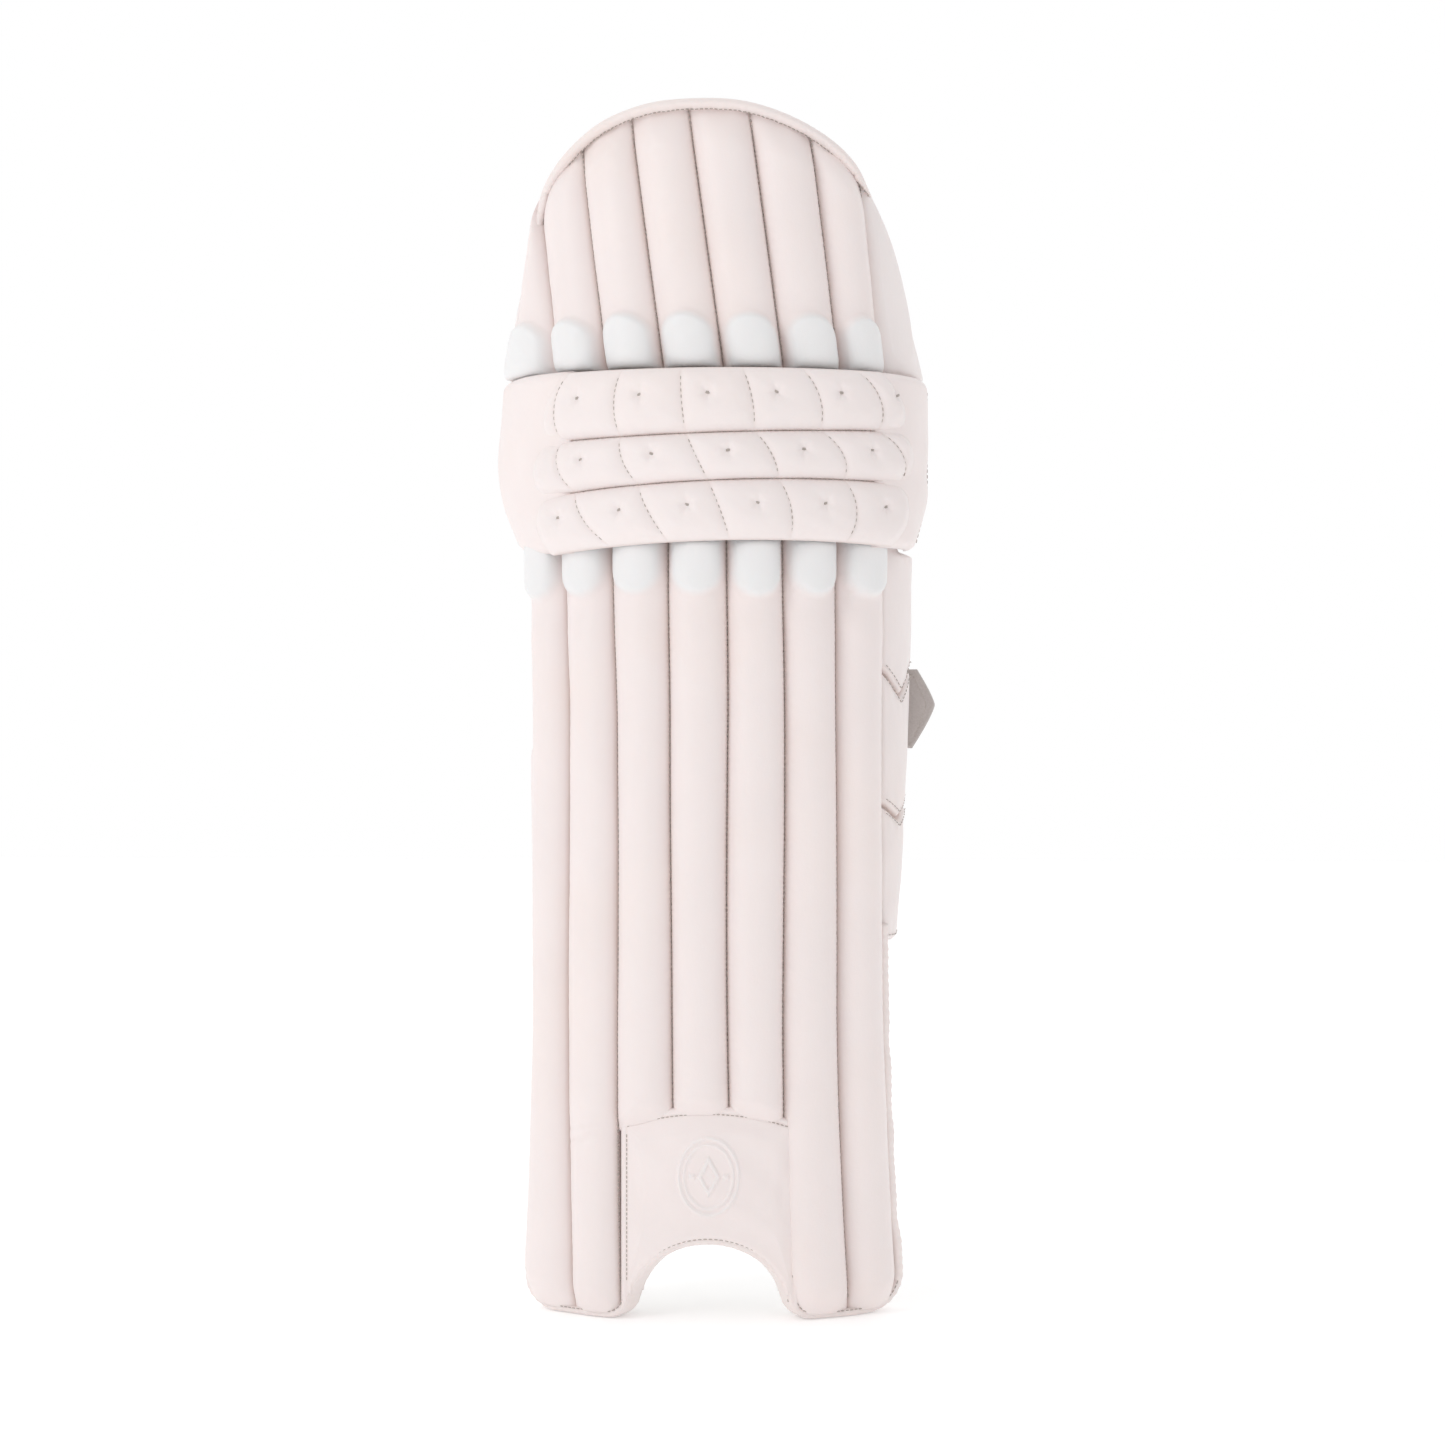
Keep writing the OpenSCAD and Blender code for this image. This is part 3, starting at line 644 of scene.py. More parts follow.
def panel(name, plan, z, thick, lift=0.0, side=1, rho=4.0, front_edge=True, **fields):
    """A padded panel: plan is (rows, cols, 2) from front to back, z is (rows, cols)."""
    rows, cols = z.shape
    plan = np.broadcast_to(plan, (rows, cols, 2))
    along = np.gradient(plan, axis=1)
    along = along / np.maximum(np.linalg.norm(along, axis=2), 1e-6)[..., None]
    out = np.stack([-along[..., 1], along[..., 0]], -1) * -1
    step = np.linalg.norm(np.diff(plan, axis=1), axis=2)
    s = np.concatenate([np.zeros((rows, 1)), np.cumsum(step, axis=1)], 1)
    d = np.minimum(z - z[:1], z[-1:] - z)
    d = np.minimum(d, s[:, -1:] - s)
    if front_edge:
        d = np.minimum(d, s)
    drop = edge_roll(d, rho)
    face = plan + out * (lift - drop)[..., None]
    inner = plan - out * (thick - np.minimum(drop, thick * 0.45))[..., None]
    front = plan_point(face[..., 0] * side, face[..., 1], z)
    back = plan_point(inner[..., 0] * side, inner[..., 1], z)
    if side < 0:
        front, back = front[:, ::-1], back[:, ::-1]
        fields = {key: np.broadcast_to(value, (rows, cols))[:, ::-1] for key, value in fields.items()}
    return slab(name, front, back, **fields)


def rows_between(low, high, rows):
    """Heights from low to high, closer together at both ends."""
    t = (1 - np.cos(np.linspace(0, math.pi, rows)))[:, None] / 2
    t = 0.5 * t + 0.5 * np.linspace(0, 1, rows)[:, None]
    return low + (high - low) * t


def knee_end(side, a0, x, narrow, bulge, foot_drop, foot_rise, name):
    """Plain end panel that wraps round behind the bars and draws in towards its foot."""
    cols, rows = 90, 110
    low, high = KNEE_Z - 4.6, THIGH_Z - 0.6
    level = rows_between(np.full(1, low), np.full(1, high), rows)
    half = x + 1.2 - narrow * (1 - smooth(level, low - 12, low + 38)) * 1.35
    half = half + bulge * np.exp(-((level - 478) / 30) ** 2)
    plan = np.stack([plan_bend(155.0, a0, float(h), BACK_Y, cols) for h in half[:, 0]])
    q = np.linspace(0, 1, cols)[None, :]
    z = level + (foot_rise * q ** 2 - foot_drop) * (high - level) / (high - low)
    soft = 0.35 * ripple(90 + side, (z, 30), (plan[..., 1], 22))
    sag = 0.7 * np.exp(-((z - 470 - 4 * side) / 9) ** 2) * smooth(plan[..., 1], -130, -90)
    lift = soft - sag + 0.8 * (1 - ((z - (low + high) / 2) / ((high - low) / 2)) ** 4)
    step = np.linalg.norm(np.diff(plan, axis=1), axis=2)
    reach = np.concatenate([np.zeros((rows, 1)), np.cumsum(step, axis=1)], 1)
    lift = lift - 3.0 * np.exp(-(reach / 6.5) ** 2)
    rear = BACK_Y - plan[..., 1]
    lift = lift - 0.6 * np.exp(-((rear - 6.0) / 1.0) ** 2)
    # The groove field paints a thin line of shade, with a warm soiled tint, along the stitched seam near the
    # rear edge.
    piece = panel(name + "_panel", plan, z, 9.0, lift, side, rho=6.0, front_edge=False,
                  cap=0 * z, groove=0.25 * np.exp(-((rear - 6.0) / 0.8) ** 2))
    paint(piece, cover_look)
    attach(piece, "knee")
    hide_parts(name)
    rows_kept = slice(8, -8)
    return plan_point((plan[rows_kept, -8, 0] + 0.4) * side, plan[rows_kept, -8, 1], z[rows_kept, -8])


end_lines = [knee_end(-1, a0=29.0, x=119.5, narrow=11.0, bulge=3.6, foot_drop=2.6, foot_rise=9.0,
                      name="knee_end_left"),
             knee_end(1, a0=38.5, x=122.0, narrow=6.5, bulge=0.0, foot_drop=-0.8, foot_rise=2.0,
                      name="knee_end_right")]
stitches("knee_end_stitches", end_lines, pitch=3.2, length=2.2, radius=0.34, body="knee")

# ---------- thigh ----------

# Control points of the thigh section's outline, from its left foot over the crown to its right foot.
OUTLINE = np.array([
    (-121, THIGH_Z), (-107, 592), (-92, 638), (-66, 664), (-36, 676), (-4, TOP_Z - 1),
    (26, 677), (56, 667), (80, 651), (95, 628), (107, 600), (123, THIGH_Z)])


def spline(points, per=16):
    """A smooth curve through the points (Catmull-Rom)."""
    p = np.concatenate([[2 * points[0] - points[1]], points, [2 * points[-1] - points[-2]]])
    t = np.linspace(0, 1, per, endpoint=False)[:, None]
    parts = []
    for a, b, c, d in zip(p[:-3], p[1:-2], p[2:-1], p[3:]):
        parts.append(0.5 * (2 * b + (c - a) * t + (2 * a - 5 * b + 4 * c - d) * t ** 2
                            + (3 * b - 3 * c + d - a) * t ** 3))
    return np.concatenate(parts + [points[-1:]])


thigh_line = spline(OUTLINE)


def outline_z(x):
    """Height of the thigh section's edge at x."""
    return np.interp(x, thigh_line[:, 0], thigh_line[:, 1])


def outline_x(z, side):
    """Half width of the thigh section at height z, on the left (-1) or right (1)."""
    half = thigh_line[thigh_line[:, 0] * side > 20]
    half = half[np.argsort(half[:, 1])]
    return np.interp(z, half[:, 1], half[:, 0] * side)


def thigh_seam(k, z):
    """Angle of thigh seam k at height z; the left edge follows the outline."""
    if k == 0:
        return -np.degrees(np.arcsin(np.clip((outline_x(z, -1) - 4.8) / (WRAP_R + 2), 0, 0.93)))
    return THIGH_SEAMS[k] + THIGH_LEAN * (np.asarray(z, float) - THIGH_Z)


def thigh_roll(k):
    """One stuffed roll of the thigh section, with the moulded cap in its foot."""
    cols, rows = 26, 150
    u = -np.cos(np.linspace(0, math.pi, cols))
    probe = np.linspace(THIGH_Z + 4, TOP_Z + 12, 900)[:, None]
    lo, hi = thigh_seam(k - 1, probe), thigh_seam(k, probe)
    a = (lo + hi) / 2 + u * (hi - lo) / 2
    gap = outline_z((WRAP_R + 1) * np.sin(np.radians(a))) - BINDING * 0.6 - probe
    gap[probe[:, 0] < THIGH_Z + 70] = 1
    last = np.argmax(gap < 0, axis=0)
    top = probe[np.maximum(last, 1), 0]
    t = np.linspace(0, 1, rows)[:, None]
    t = 0.7 * t + 0.3 * (1 - np.cos(math.pi * t)) / 2
    z = THIGH_Z + 0.1 + (top - THIGH_Z - 0.1) * t
    lo, hi = thigh_seam(k - 1, z), thigh_seam(k, z)
    a = (lo + hi) / 2 + u * (hi - lo) / 2
    plump = (np.clip(1 - np.abs(u) ** 2.2, 0, 1) ** 0.6)[None, :]
    tail = smooth(top - z, -3, 26) ** 0.75
    lift = (ROLL_LIFT - 1) * plump * (0.16 + 0.84 * tail) * (1 + 0.03 * ripple(120 + k, (z, 40)))
    cap_mid = THIGH_Z + 17.5 + ripple(5, (k * 10.0, 7)) * 1.2
    reach = np.sqrt((u / 0.94) ** 2 + (np.clip(z - cap_mid, 0, None) / 14.5) ** 2)
    cap = smooth(-reach, -1.06, -0.72)
    neck = smooth(-z, -THIGH_Z - 55, -THIGH_Z - 34) * (1 - cap) * 1.1
    lift = lift + cap * 3.9 - neck * plump
    toe = np.clip((z - THIGH_Z) / 8, 0, 1)
    lift = lift * (0.68 + 0.32 * np.sqrt(1 - (1 - toe) ** 2))
    near_top = np.exp(-(np.clip(top - z, 0, None) / 9) ** 2)
    gather = np.sin(u * 7 + k) * 0.45 * near_top * plump
    pucker = 0.22 * np.sin(z * 2 * math.pi / 6.0 + k) * smooth(np.abs(u), 0.7, 0.95) * (1 - np.abs(u) ** 8)
    r = GROOVE_R + lift + gather + pucker + 0.14 * ripple(150 + k, (z, 9), (a * 2.3, 8)) * plump
    # The groove field paints shade, with a warm soiled tint, at the roll edges down in the seams between
    # rolls.
    piece = slab(f"thigh_roll_{k}", wrap(a, r, z), wrap(a, np.full_like(r, BACKING_R + 0.6), z),
                 cap=cap * 0.85, groove=smooth(np.abs(u), 0.88, 1.0) * 0.45 * np.ones_like(z))
    paint(piece, cover_look)
    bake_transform(piece)
    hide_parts(f"thigh_filler_{k}")
    return piece


# The thigh fold's span covers the feet of the thigh's padding.
thigh_fold_span = (plan_point(0, FOLD_Y, THIGH_Z - 4.0), plan_point(0, FOLD_Y, THIGH_Z + 52.0))
thigh_rolls = [thigh_roll(k) for k in range(1, 8)]
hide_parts("thigh_facing", "thigh_roll_caps")
thigh_lines = []
seam_tops = []
for k in range(1, 8):
    z = np.arange(THIGH_Z + 4, TOP_Z + 5, 2.0)
    x = WRAP_R * np.sin(np.radians(thigh_seam(k, z)))
    z = z[outline_z(x) - 4.5 > z]
    thigh_lines.append(wrap(thigh_seam(k, z), GROOVE_R + 1.7, z))
    seam_tops.append((WRAP_R * math.sin(math.radians(float(thigh_seam(k, z[-1])))), float(z[-1])))
stitches("thigh_seam_stitches", thigh_lines, body="thigh")


def on_wrap(x, r):
    """Depth of a point at x on a circle of radius r round the leg axis."""
    return -np.sqrt(np.clip(r * r - x * x, 0, None))


def thigh_piping():
    """Rounded piping along the top edge, drawn in where each seam meets it."""
    keep = thigh_line[(thigh_line[:, 1] > 592) & ((thigh_line[:, 1] > 628) | (thigh_line[:, 0] < 0))]
    x, z = keep[:, 0], keep[:, 1] - 0.3
    x = x + 3.4 * (1 - smooth(z, 592, 640)) * (x < 0) - 1.6 * (1 - smooth(z, 628, 648)) * (x > 0)
    path = resample(plan_point(x, on_wrap(x, WRAP_R + 5.0), z), 1.0 * MM)
    radius = np.full(len(path), BINDING * 0.66)
    for seam_x, seam_z in seam_tops:
        d = np.linalg.norm(path[:, [0, 2]] / MM - np.array([AXIS_X + seam_x, seam_z + 3]), axis=1)
        radius = radius - 0.7 * np.exp(-(d / 1.9) ** 2)
    s = np.arange(len(path))
    radius = radius * (0.25 + 0.75 * smooth(np.minimum(s, s[::-1] * 1.8), 0, 34))
    radius = radius + 0.1 * ripple(9, (s, 6)) + 0.06 * np.sin(s * 2 * math.pi / 4.5)
    centre = path[:, [0, 2]] / MM - np.array([AXIS_X, 560])
    inwards = -centre / np.linalg.norm(centre, axis=1)[:, None]
    path[:, 0] += inwards[:, 0] * radius * MM
    path[:, 2] += inwards[:, 1] * radius * MM
    piece = tube("thigh_piping_round", path, radius * MM, sides=20, flat=1.7)
    paint(piece, binding_look)
    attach(piece, "thigh")
    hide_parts("thigh_piping")
    inner = path.copy()
    inner[:, 0] += inwards[:, 0] * (radius + 0.2) * MM
    inner[:, 2] += inwards[:, 1] * (radius + 0.2) * MM
    inner[:, 1] -= 1.6 * MM
    return [inner]


stitches("thigh_piping_stitches", thigh_piping(), pitch=2.7, length=1.9, radius=0.3, body="thigh")


def thigh_wing(side, seam, name):
    """Side wing: it bends out of the wrap beside the end roll and leans in towards its top."""
    rows, cols = 110, 70
    top = 638.0 if side > 0 else 606.0
    level = rows_between(np.full(1, THIGH_Z + 1.0), np.full(1, top), rows)[:, 0]
    plan = np.zeros((rows, cols, 2))
    for i, z in enumerate(level):
        a0 = min(abs(float(thigh_seam(seam, z))) - 0.6, 60.0)
        x = float(outline_x(z, side)) - (0.4 if side > 0 else 5.0)
        start_x = (WRAP_R + 3.0) * math.sin(math.radians(a0))
        x = max(x, start_x + 1.5)
        done = (z - level[0]) / (top - level[0])
        rear = BACK_Y - 30.0 * done ** 1.6
        plan[i] = plan_bend(WRAP_R + 3.0, a0, x, rear, cols)
    foot = np.full(cols, THIGH_Z + 0.4)
    t = (level - level[0]) / (level[-1] - level[0])
    q = np.linspace(0, 1, cols)[None, :]
    z = foot + (top - 34.0 * q ** 1.7 - foot) * t[:, None]
    upwards = np.sin(math.pi * np.clip(t * 0.9 + 0.1, 0, 1))[:, None]
    belly = 5.0 * np.sin(math.pi * np.clip(q * 1.5, 0, 1)) ** 0.8 * upwards
    valley = -3.0 * np.exp(-(q / 0.07) ** 2)
    lift = (belly if side > 0 else 0.6 * belly) + valley + 0.25 * ripple(180 + side, (z, 26), (q * 60, 18))
    lift = np.minimum(lift, 2.5)
    # The groove field paints shade, with a warm soiled tint, in the valley beside the end roll.
    piece = panel(name + "_pad", plan, z, 9.0, lift, side, rho=4.0, front_edge=False, cap=0.2 + 0 * z,
                  groove=0.3 * np.exp(-(q / 0.05) ** 2) + 0 * z)
    paint(piece, cover_look)
    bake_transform(piece)
    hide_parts(name)


thigh_wing(1, 7, "thigh_outer_wing")
thigh_wing(-1, 0, "thigh_inner_wing")
# ---------- base: patch, binding and arch ----------

WING_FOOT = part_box("inner_wing")[0][2] / MM

PATCH_R = 139.5                        # radius of the patch's face
PATCH_MM = 2.43                        # millimetres per degree round that face
PATCH_LEFT, PATCH_RIGHT = -19.9, 22.8  # angles of the patch's sides


def emblem(a, z):
    """A plain embossed motif: a double oval ring round a diamond."""
    x = (a - 1.4) * PATCH_MM / 17.0
    y = (z - 81.5) / 22.0
    d = np.hypot(x, y)
    rings = np.exp(-((d - 0.97) / 0.05) ** 2) + 0.8 * np.exp(-((d - 0.80) / 0.04) ** 2)
    stone = np.abs(x) / 0.36 + np.abs(y) / 0.5
    inner = smooth(-stone, -1.12, -0.95) - 0.8 * smooth(-stone, -0.72, -0.58)
    bars = np.exp(-(y / 0.07) ** 2) * smooth(np.abs(x), 0.42, 0.48) * smooth(-np.abs(x), -0.68, -0.62)
    return np.clip(rings + inner + bars, 0, 1)


def instep_patch():
    """One padded sheet over the instep, with a crowned top edge and the arch cut out of its foot."""
    rows, cols = 190, 220
    q = np.linspace(0, 1, cols)[None, :]
    a = PATCH_LEFT + (PATCH_RIGHT - PATCH_LEFT) * q
    x = PATCH_R * np.sin(np.radians(a))
    foot = base_edge(x, BINDING * 0.5)
    top = patch_top(a)
    z = foot + (top - foot) * np.linspace(0, 1, rows)[:, None]
    side = np.minimum(q, 1 - q) * (PATCH_RIGHT - PATCH_LEFT) * PATCH_MM
    edge = np.minimum(np.minimum(side, top - z), (z - foot) * 0.7)
    hem = 0.6 * np.exp(-((np.minimum(side, top - z) - 4.2) / 0.9) ** 2)
    lift = -edge_roll(edge, 3.0) * 0.8 - 0.55 * hem
    body = smooth(edge, 4, 16)
    lift = lift + 1.5 * body + 0.35 * ripple(31, (a * 2.4, 22), (z, 18)) * body
    mark = emblem(a, z)
    lift = lift + 1.05 * mark
    drape = 0.4 * np.exp(-((side - 11) / 3.5) ** 2) * np.sin(z / 6.5) * smooth(z, 30, 60)
    r = PATCH_R - 1.4 + lift + drape
    # The groove field paints shade, with a warm soiled tint, along the stitched hem.
    piece = slab("instep_patch_sheet", wrap(a, r, z), wrap(a, np.full_like(r, BACKING_R + 0.6), z),
                 cap=0.3 * mark, groove=0.25 * hem)
    paint(piece, cover_look)
    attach(piece, "shin")
    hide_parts("instep_patch", "instep_foam")
    top_a = np.linspace(PATCH_LEFT + 1.7, PATCH_RIGHT - 1.7, 120)
    top_line = wrap(top_a, PATCH_R - 1.6, patch_top(top_a) - 4.4)
    lines = [top_line]
    for edge_a, way in ((PATCH_LEFT, 1), (PATCH_RIGHT, -1)):
        zz = np.arange(22 if way > 0 else 24, 106, 2.0)
        lines.append(wrap(edge_a + way * 1.75, PATCH_R - 1.6, zz))
    return lines


patch_lines = instep_patch()
stitches("instep_patch_stitches", patch_lines, pitch=2.6, length=1.8, radius=0.32, body="shin")


def base_path():
    """The lower edge of the shin from its left side to its right side, in the front view."""
    x = np.concatenate([np.linspace(-BASE_LEFT, -BASE_LEFT + 22, 60),
                        np.linspace(-BASE_LEFT + 22, BASE_RIGHT - 22, 900)[1:-1],
                        np.linspace(BASE_RIGHT - 22, BASE_RIGHT, 60)])
    foot = np.stack([x, base_edge(x)], -1)
    left_z = np.arange(KNEE_Z - 12, 21, -3.0)
    right_z = np.arange(21, WING_FOOT + 12, 3.0)
    left = np.stack([-side_x(left_z, 0), left_z], -1)
    right = np.stack([side_x(right_z, 7), right_z], -1)
    return np.concatenate([left, foot, right])


def side_x(z, seam):
    """Half width of the shin at its left (seam 0) or right (seam 7) edge."""
    edge = WRAP_R * np.sin(np.radians(np.abs(shin_seam(seam, z)))) + (-0.2 if seam == 0 else 5.0)
    base = BASE_LEFT if seam == 0 else BASE_RIGHT
    return edge + (base - edge) * (1 - smooth(z, 20, 60))


def edge_binding():
    """A folded strip of PU that wraps the edge of the base, the arch and the sides."""
    line = base_path()
    line_x, line_z = line[:, :1] * MM, line[:, 1:] * MM
    path = resample(np.concatenate([line_x, np.zeros_like(line_x), line_z], 1), 1.6 * MM)
    x, z = path[:, 0] / MM, path[:, 2] / MM
    tangent = np.gradient(np.stack([x, z], -1), axis=0)
    tangent /= np.linalg.norm(tangent, axis=1)[:, None]
    inwards = np.stack([-tangent[:, 1], tangent[:, 0]], -1)
    s = np.arange(len(x)) * 1.6
    wobble = 1 + 0.05 * ripple(14, (s, 18)) + 0.03 * np.sin(s * 2 * math.pi / 5.2)
    sides = 28
    turn = np.linspace(0, 2 * math.pi, sides, endpoint=False)
    # section: from the backing to just proud of the rolls' roots, rounded on the outside
    mid_r, half_r = (BACKING_R + WRAP_R + 3.4) / 2, (WRAP_R + 3.4 - BACKING_R) / 2
    half_w = BINDING * 0.5
    power = 0.55
    c, sn = np.cos(turn), np.sin(turn)
    along_w = np.sign(c) * np.abs(c) ** power * half_w
    along_r = np.sign(sn) * np.abs(sn) ** power * half_r
    px = x[:, None] + inwards[:, :1] * (half_w + along_w[None, :] * wobble[:, None])
    pz = z[:, None] + inwards[:, 1:] * (half_w + along_w[None, :] * wobble[:, None])
    r = mid_r + along_r[None, :] * wobble[:, None]
    around = np.degrees(np.arcsin(np.clip(px / (WRAP_R + 1), -0.99, 0.99)))
    verts = wrap(around, r, pz)
    n = len(x)
    i = np.arange(n * sides).reshape(n, sides)
    j = np.roll(i, -1, axis=1)
    walls = np.stack([i[:-1], i[1:], j[1:], j[:-1]], -1).reshape(-1, 4)[:, ::-1]
    faces = [tuple(f) for f in walls] + [tuple(i[0][::-1]), tuple(i[-1])]
    piece = new_mesh("edge_binding_strip", verts.reshape(-1, 3), faces)
    paint(piece, binding_look)
    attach(piece, "shin")
    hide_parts("edge_binding")
    low = (z < 17) | (np.abs(x) < 60)
    sx = (x + inwards[:, 0] * (BINDING * 0.8))[low]
    sz = (z + inwards[:, 1] * (BINDING * 0.8))[low]
    return [wrap(np.degrees(np.arcsin(sx / (WRAP_R + 1))), WRAP_R + 3.5, sz)]


stitches("edge_binding_stitches", edge_binding(), pitch=3.0, length=2.1, radius=0.32, body="shin")


# ---------- calf wings ----------

CHEVRON_Y, CHEVRON_HALF = -76, 16    # depth of a chevron's point, and half its width
DROP_LOW, DROP_HIGH = 9, 16          # how far each chevron's point hangs
OUTER_START, OUTER_X = 46.8, 115.0   # angle at which the outer wing leaves the wrap, and its half width
INNER_START, INNER_X = 46.4, 98.6


def chevron_line(y, z, drop):
    """Height of a chevron groove across the outer wing, at depth y."""
    return z - drop * np.clip(1 - np.abs(y - CHEVRON_Y) / CHEVRON_HALF, 0, 1)


def calf_wing(side, a0, x, name, low, high, low_drop, high_drop):
    """A padded wing section that bends out of the wrap; returns the lines of its stitching."""
    rows, cols = 90, 80
    y = plan_bend(WRAP_R + 0.5, a0, x, BACK_Y, cols)[:, 1]
    z = rows_between(chevron_line(y, low, low_drop), chevron_line(y, high, high_drop), rows)
    # the wing draws in towards its foot
    half = x - (9.5 if side > 0 else 2.0) * np.clip((WING_TOP - z.mean(axis=1)) / 220, 0, 1) ** 1.8
    level = z.mean(axis=1)
    half = half - (8.5 if side > 0 else 3.0) * smooth(level, KNEE_Z - 7.5, KNEE_Z - 3)
    if side < 0:
        half = half + 4.6 * smooth(level, 250, 264) * (1 - smooth(level, 314, 328))
    # a wing never starts inside the seam it bends out of
    half = np.maximum(half, (WRAP_R + 0.5) * math.sin(math.radians(a0)) + 0.8)
    plan = np.stack([plan_bend(WRAP_R + 0.5, a0, float(h), BACK_Y, cols) for h in half])
    q = np.linspace(0, 1, cols)[None, :]
    v = np.linspace(0, 1, rows)[:, None]
    belly = 1.6 * np.sin(math.pi * np.clip(q * 1.2, 0, 1)) * np.sin(math.pi * v) ** 0.5
    d = np.minimum(z - z[:1], z[-1:] - z)
    pull = 0.3 * np.sin(y[None, :] * 2 * math.pi / 8) * np.exp(-(d / 9) ** 2)
    lift = belly + pull + 0.3 * ripple(int(high), (z, 24), (y[None, :], 16)) - 0.6
    # The groove field paints shade, with a warm soiled tint, along the seams between the wing's sections.
    piece = panel(name + "_pad", plan, z, 9.0, lift, side, rho=4.0, cap=0.1 + 0 * z,
                  groove=0.5 * np.exp(-(d / 1.2) ** 2))
    paint(piece, cover_look)
    if high >= WING_TOP:
        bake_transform(piece)
    else:
        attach(piece, "shin")
    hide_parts(name)
    lines = []
    for row, up in ((0, 3.4), (-1, -3.4)):
        if z[row].mean() > WING_TOP - 10:
            continue
        near = plan[row, 4:-3]
        lines.append(plan_point((near[:, 0] + 0.5) * side, near[:, 1] - 0.4, z[row][4:-3] + up))
    return lines


# Each chevron groove is 2 mm wide, and its middle is 1 mm above the section below it.
CHEVRON_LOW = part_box("outer_wing_lower")[1][2] / MM + 1
CHEVRON_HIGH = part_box("outer_wing_middle")[1][2] / MM + 1
WING_TOP = KNEE_Z + 0.5
# The span of the knee fold over the wings' tops.
wing_crush_span = (plan_point(0, FOLD_Y, CHEVRON_HIGH + 4), plan_point(0, FOLD_Y, KNEE_Z))
wing_lines = calf_wing(1, OUTER_START, OUTER_X, "outer_wing_upper",
                       CHEVRON_HIGH + 0.6, WING_TOP, DROP_HIGH, 0)
wing_lines += calf_wing(1, OUTER_START, OUTER_X, "outer_wing_middle",
                        CHEVRON_LOW + 0.6, CHEVRON_HIGH - 0.6, DROP_LOW, DROP_HIGH)
wing_lines += calf_wing(1, OUTER_START, OUTER_X, "outer_wing_lower",
                        WING_FOOT, CHEVRON_LOW - 0.6, 0, DROP_LOW)
wing_lines += calf_wing(-1, INNER_START, INNER_X, "inner_wing", WING_FOOT, WING_TOP, 0, 0)
stitches("calf_wing_stitches", wing_lines, pitch=3.0, length=2.0, radius=0.28, body="shin")


# ---------- leg side: boards, linings, bolsters and cushion ----------

def sheet_on_wrap(name, a0, a1, foot, top, r_out, r_in, look, body,
                  lines=(), depth=0.0, seed=1, shape=None):
    """A layer that follows the wrap; quilted lines are pressed into its leg side."""
    rows, cols = 150, 170
    a = a0 + (a1 - a0) * np.linspace(0, 1, cols)[None, :]
    low = foot(a) if callable(foot) else np.full_like(a, foot)
    high = top(a) if callable(top) else np.full_like(a, top)
    z = low + (high - low) * np.linspace(0, 1, rows)[:, None]
    a = np.broadcast_to(a, z.shape)
    if shape:
        a = shape(a, z)
    inner = np.full_like(z, float(r_in)) - 0.25 * depth * ripple(seed, (z, 40), (a * 2, 25))
    for line in lines:
        inner = inner + depth * np.exp(-((a - line) * 1.95 / 1.8) ** 2)
    piece = slab(name, wrap(a, r_out, z), wrap(a, inner, z))
    paint(piece, look)
    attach(piece, body)
    return piece


def shin_foot(a):
    """Lower edge of the shin's inner layers."""
    return base_edge(BACKING_R * np.sin(np.radians(a)), BINDING * 0.6)


QUILT = range(-39, 40, 13)      # angles of the lines quilted into the linings
BOARD_IN_R, LINING_OUT_R, LINING_IN_R = 113.3, 113.2, 110.0
shin_board = sheet_on_wrap("shin_backing_board", -47, 47, shin_foot, KNEE_Z - 1, BACKING_R, BOARD_IN_R,
                           board_look, "shin")
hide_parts("shin_backing")
shin_inner = sheet_on_wrap("shin_lining_quilted", -47, 47, shin_foot, KNEE_Z - 1, LINING_OUT_R, LINING_IN_R,
                           lining_look, "shin", QUILT, 1.6, 3)
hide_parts("shin_lining")


def knee_foot(inner, slope, z0, sign):
    """Edge of the knee's inner layers, which slopes away from the fold behind it."""
    def edge(a):
        y = -inner * np.cos(np.radians(a))
        return z0 + sign * np.clip(y - FOLD_Y, 0, None) * math.tan(math.radians(slope))
    return edge


knee_board = sheet_on_wrap("knee_backing_board", -46, 46, knee_foot(130, 21, KNEE_Z + 2.0, 1),
                           knee_foot(130, 19, THIGH_Z - 1.5, -1), 132.8, 126.2, board_look, "knee")
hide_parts("knee_backing")
knee_inner = sheet_on_wrap("knee_lining_quilted", -46, 46, knee_foot(124, 21, KNEE_Z + 2.0, 1),
                           knee_foot(124, 19, THIGH_Z - 1.5, -1), 126.0, 123.2,
                           lining_look, "knee", [-38, -30, 30, 38], 1.2, 5)
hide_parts("knee_lining")


def thigh_top(a):
    """Top edge of the thigh's inner layers, just below the rolls' own tops."""
    z = np.full_like(a, THIGH_Z + 120.0)
    for _ in range(30):
        x = (WRAP_R + 1) * np.sin(np.radians(leaned(a, z)))
        z = 0.6 * z + 0.4 * outline_z(x)
    return z - 7.5


def leaned(a, z):
    """The angle a after the thigh section's sideways lean at height z."""
    return a + THIGH_LEAN * (z - THIGH_Z)


thigh_board = sheet_on_wrap("thigh_backing_board", -46, 46, THIGH_Z + 1, thigh_top, BACKING_R, BOARD_IN_R,
                            board_look, "thigh", shape=leaned)
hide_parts("thigh_backing")
thigh_inner = sheet_on_wrap("thigh_lining_quilted", -46, 46, THIGH_Z + 1, thigh_top, LINING_OUT_R,
                            LINING_IN_R, lining_look, "thigh", QUILT, 1.6, 7, leaned)
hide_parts("thigh_lining")

